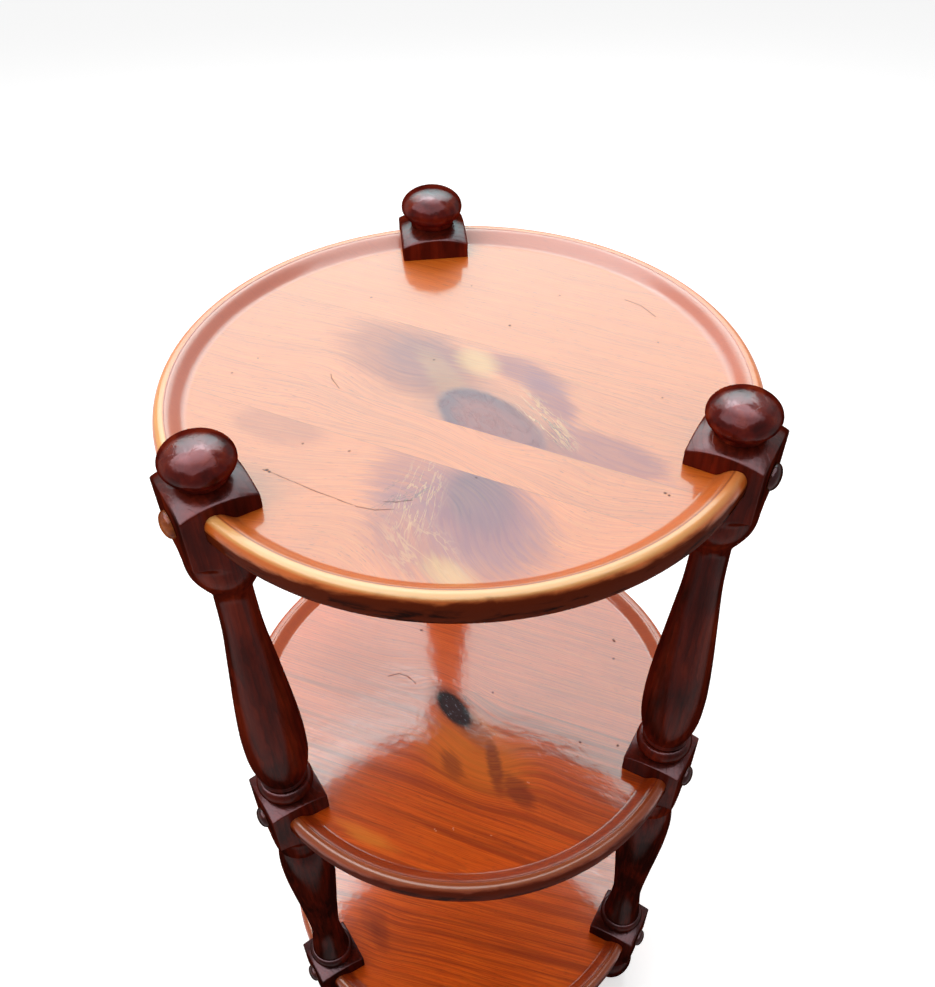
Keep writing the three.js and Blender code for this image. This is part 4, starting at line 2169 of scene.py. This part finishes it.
def tray_finishes() -> dict[Tier, PineFinish]:
    """Choose the boards, knots, stains and marks of each shelf.

    Returns:
        The finish of each shelf.
    """
    umber, plum, mauve = srgb(150, 60, 54), srgb(122, 38, 60), srgb(146, 60, 76)
    straw = srgb(216, 152, 78)
    front, middle_joint, back = -72.5, -36.5, 44.0
    top = PineFinish(
        name="pine_top",
        grain=-31.8,
        boards=(
            Board(-FAR, 0.99, 3.0, 0.1, 0.06, 3.1, -150, 70),
            Board(front, 1.0, 41.0, 0.3, 0.15, 2.6, -190, 40, 0.01),
            Board(middle_joint, 0.96, 87.0, 0.24, 0.15, 3.3, -170, 75, 0.03),
            Board(back, 1.0, 29.0, 0.2, 0.12, 3.0, -120, 60, 0.01),
        ),
        knots=(
            Knot(
                Patch(33.0, -27.5, 41.0, 21.5, -24.0, over=middle_joint),
                heart=srgb(150, 66, 66), rim=srgb(112, 50, 66), strength=0.95, bend=1.5, soft=0.11,
            ),
        ),
        clouds=(
            Cloud(Patch(-38, 10, 54, 30, -18, middle_joint, back), umber, 0.68, 0.6, 0.35),
            Cloud(Patch(-30, 12, 30, 21, -20, middle_joint, back), plum, 0.54, 0.7, 0.4),
            Cloud(Patch(33, 27, 29, 11, -12, middle_joint, back), mauve, 0.78, 0.8, 0.4),
            Cloud(Patch(58, 8, 26, 10, -40, middle_joint), mauve, 0.82, 0.8, 0.4),
            Cloud(Patch(101, -27, 42, 18, -4, middle_joint), mauve, 0.72, 0.5, 0.25),
            Cloud(Patch(-79, -82, 30, 14, 0, -FAR, front), umber, 0.4, 0.4, 0.3),
            Cloud(Patch(58, -96, 42, 30, -48, -FAR, front), mauve, 0.85, 0.5, 0.4),
            Cloud(Patch(55, -90, 27, 18, -48, -FAR, front), srgb(98, 34, 60), 0.7, 0.4, 0.35),
            Cloud(Patch(14, -92, 28, 22, -52, -FAR, front), mauve, 0.62, 1.0, 0.5),
            Cloud(Patch(34, -128, 36, 22, -40, -FAR, front), mauve, 0.62, 1.0, 0.5),
            Cloud(Patch(80, -113, 34, 26, -55, -FAR, front), mauve, 0.6, 0.9, 0.5),
            Cloud(Patch(1, 25, 15, 10, -30, middle_joint), straw, 0.75, 0.6, 0.6),
            Cloud(Patch(64, -147, 15, 8, -20, -FAR, front), straw, 0.75, 0.8, 0.6),
            Cloud(Patch(-8, 0, 34, 9, -38, middle_joint), straw, 0.3, 0.9, 0.5),
        ),
        feathers=(
            Feather(Patch(60, -10, 40, 12, -36, middle_joint), srgb(226, 168, 104), 0.7, 0.045),
            Feather(Patch(66, -16, 32, 8, -36, middle_joint), srgb(60, 18, 16), 0.75, 0.02, 2.0),
            Feather(Patch(24, -104, 44, 17, -76, -FAR, front), srgb(226, 168, 104), 0.5, 0.03, 3.6),
            Feather(Patch(14, -104, 30, 16, 60, -FAR, front), srgb(70, 22, 26), 0.6, 0.02),
            Feather(Patch(42, -138, 34, 22, -30, -FAR, front), srgb(222, 156, 96), 0.45, 0.05),
        ),
        swirls=(Swirl(-48, -8, 52, 28), Swirl(60, -108, 72, 60)),
        marks=(
            Mark([(8, -113), (15, -110), (22, -105)], 0.6, strength=0.7, wander=2.0),
            Mark(
                [(-66, -117.5), (-32, -120.8), (-3, -122.3), (7, -120.6), (16, -116)],
                0.5, strength=0.6, wander=1.0,
            ),
            Mark([(-77, -24), (-74, -28), (-70, -31), (-65, -34.5)], 0.45, strength=0.55),
            Mark([(62, 131), (74, 128.6), (87, 120)], 0.45, strength=0.6),
            Mark(
                [(-64, -117), (-62, -118), (145, -43), (147.5, -44), (3, 70.5)],
                1.2, strength=0.9, wander=1.5, apart=True,
            ),
            Mark(
                [
                    (98, 92.5), (-127.8, -28.6), (-25, 16), (139, 97.8), (-134, -48.5),
                    (-57.6, -89), (46, -74.2), (-30, -83.7), (-96, 63), (20, 118),
                    (118, 38), (-40, 104),
                ],
                0.95, strength=0.75, wander=1.6, apart=True,
            ),
        ),
    )
    # Colours for the two lower shelves, darker than the top shelf's: painted shade from the shelves
    # above them.
    shaded_set = {
        "light": srgb(226, 106, 18), "mid": srgb(214, 86, 10), "deep": srgb(184, 62, 6),
        "late": srgb(118, 34, 6), "pore": srgb(72, 20, 6), "cove": srgb(132, 44, 16),
        "hollow": srgb(190, 100, 66), "crest": srgb(144, 58, 22), "rubbed": srgb(164, 80, 36),
        "gloss": 0.59, "sheen": 0.05, "wander": 7.0,
    }
    smudge = srgb(104, 32, 10)
    middle = PineFinish(
        name="pine_middle",
        grain=-28.5,
        boards=(
            Board(-FAR, 1.04, 13.0, 0.34, 0.5, 3.0, -150, 60),
            Board(-104.0, 1.0, 57.0, 0.3, 0.5, 2.6, -190, 60),
            Board(2.0, 1.04, 71.0, 0.14, 0.18, 3.0, -170, 75),
        ),
        knots=(
            Knot(
                Patch(-2.0, -20.0, 22.0, 9.5, -33.0), heart=srgb(50, 24, 28), rim=srgb(24, 8, 10),
                strength=0.98, bend=2.4, sparkle=0.8, soft=0.2, matt=2.2, mottle=5.0,
            ),
        ),
        clouds=(
            Cloud(Patch(-19, -154, 24, 5.5, -6), srgb(226, 126, 34), 0.75, 1.0, 0.5),
            Cloud(Patch(30, -54, 46, 30, -10), srgb(220, 118, 16), 0.6, 0.9, 0.5),
            Cloud(Patch(50, -60, 24, 5.5, -60), smudge, 0.75, 0.9, 0.4),
            Cloud(Patch(75, -74, 18, 8, -35), smudge, 0.7, 0.9, 0.4),
            Cloud(Patch(17, -71, 14, 7, -38), smudge, 0.6, 0.9, 0.4),
            Cloud(Patch(22, -34, 22, 9, -30), smudge, 0.55, 0.9, 0.5),
            Cloud(Patch(-80, -20, 62, 40, -28), srgb(150, 60, 34), 0.4, 0.6, 0.7),
        ),
        feathers=(Feather(Patch(2, -7, 18, 5, -33), srgb(60, 20, 20), 0.7, 0.035, 2.2),),
        swirls=(Swirl(14, -46, 34, 30), Swirl(66, -62, 30, -18)),
        marks=(
            Mark([(-68, -9.3), (-60.6, -3.1), (-52, -3.1), (-42.8, -7.3)], 0.6, strength=0.6),
            Mark(
                [
                    (102, 100.7), (103.5, 100), (107.9, 80.2), (-61.7, 49), (106.8, -13.3),
                    (136.5, -4.8), (22.7, 8),
                ],
                1.5, strength=0.85, wander=2.0, apart=True,
            ),
            # Pale specks at the front of the shelf: painted glints.
            Mark(
                [
                    (27, -129), (28.5, -130), (40, -123), (41, -124), (69.3, -118),
                    (79.8, -63.8), (81, -64),
                ],
                0.9, srgb(226, 160, 110), 0.55, 2.5, apart=True,
            ),
        ),
        **shaded_set,
    )
    bottom = PineFinish(
        name="pine_bottom",
        grain=-22.0,
        boards=(
            Board(-FAR, 1.02, 23.0, 0.34, 0.55, 2.8, -150, 60),
            Board(-58.0, 1.0, 37.0, 0.28, 0.4, 2.6, -190, 60),
            Board(40.0, 1.04, 91.0, 0.24, 0.3, 3.0, -170, 75),
        ),
        knots=(
            Knot(
                Patch(-62, 30, 9, 7, 10), heart=srgb(70, 24, 12), rim=srgb(34, 14, 8),
                strength=0.95, bend=2.0,
            ),
        ),
        clouds=(
            Cloud(Patch(-69, -96, 20, 8, -62), smudge, 0.5, 0.9, 0.6),
            Cloud(Patch(-84, -88, 18, 7, -50), smudge, 0.4, 0.9, 0.6),
        ),
        swirls=(Swirl(-74, -94, 34, 12),),
        **shaded_set,
    )
    return {Tier.TOP: top, Tier.MIDDLE: middle, Tier.BOTTOM: bottom}


def corners(found: tuple[Vector, Vector]) -> list[list[float]]:
    """Write a box as plain lists.

    Args:
        found: Lowest and highest corner.

    Returns:
        The corners.
    """
    return [[round(number, 5) for number in corner] for corner in found]


def main() -> None:
    """Build the table round its frame, then the studio."""
    logging.basicConfig(level=logging.INFO, format="%(name)s: %(message)s")
    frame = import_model()
    Camera().build()

    finishes = tray_finishes()
    trays = [Tray(tier, finishes[tier]) for tier in Tier]
    posts = [
        TurnedPost(place, PostFinish(f"stained_post_{place.word}", seed=11.0 * turn))
        for turn, place in enumerate(Place)
    ]
    for tray in trays:
        LOG.info("shelf %s", tray.build(posts).name)
    for post in posts:
        LOG.info("post %s", post.build(trays).name)
    ball_finish = BallFinish("stained_ball").material()
    cap_finish = PostFinish(
        "stained_cap", 3.0, body=srgb(112, 46, 24), worn=srgb(176, 92, 46),
        sheen=0.08, crown=0.08, rough=0.08,
    ).material()
    # A paler, more orange copy of the cap finish, for the left post's top button.
    pale_cap_finish = PostFinish(
        "worn_cap", 5.0, srgb(128, 58, 26), srgb(190, 104, 50), srgb(222, 148, 84), 0.05, 0.08, 0.1
    ).material()
    steel = SteelFinish("plated_steel").material()
    for post in posts:
        LOG.info("finial %s", BallFinial(post).build(ball_finish).name)
        for tier in Tier:
            # The left post's top button takes the paler copy.
            worn = post.place is Place.LEFT and tier is Tier.TOP
            button = ScrewButton(post, tier).build(pale_cap_finish if worn else cap_finish)
            LOG.info("button %s", button.name)
            screw = WoodScrew(post.place, tier).plate(frame["nodes"], steel)
            LOG.info("screw %s", screw.name)

    Studio(
        lamps=(
            SoftBox("window", 88.0, 41.0, 2.4, 2.7, 1.5, 1.25, 18.0, 100.0, shines=False),
            SoftBox(
                "window_sheen", 89.0, 43.0, 2.35, 2.8, 1.75, 3.6, 15.0, 108.0, lights=False,
                colour=(0.49, 0.94, 0.97),
            ),
            SoftBox("overhead", 190.0, 56.0, 2.4, 1.6, 1.6, 2.9),
            SoftBox(
                "card", 215.0, 80.0, 2.0, 2.8, 2.8, 8.0, lights=False, colour=(0.66, 0.96, 1.0)
            ),
        )
    ).build()


if __name__ == "__main__":
    main()
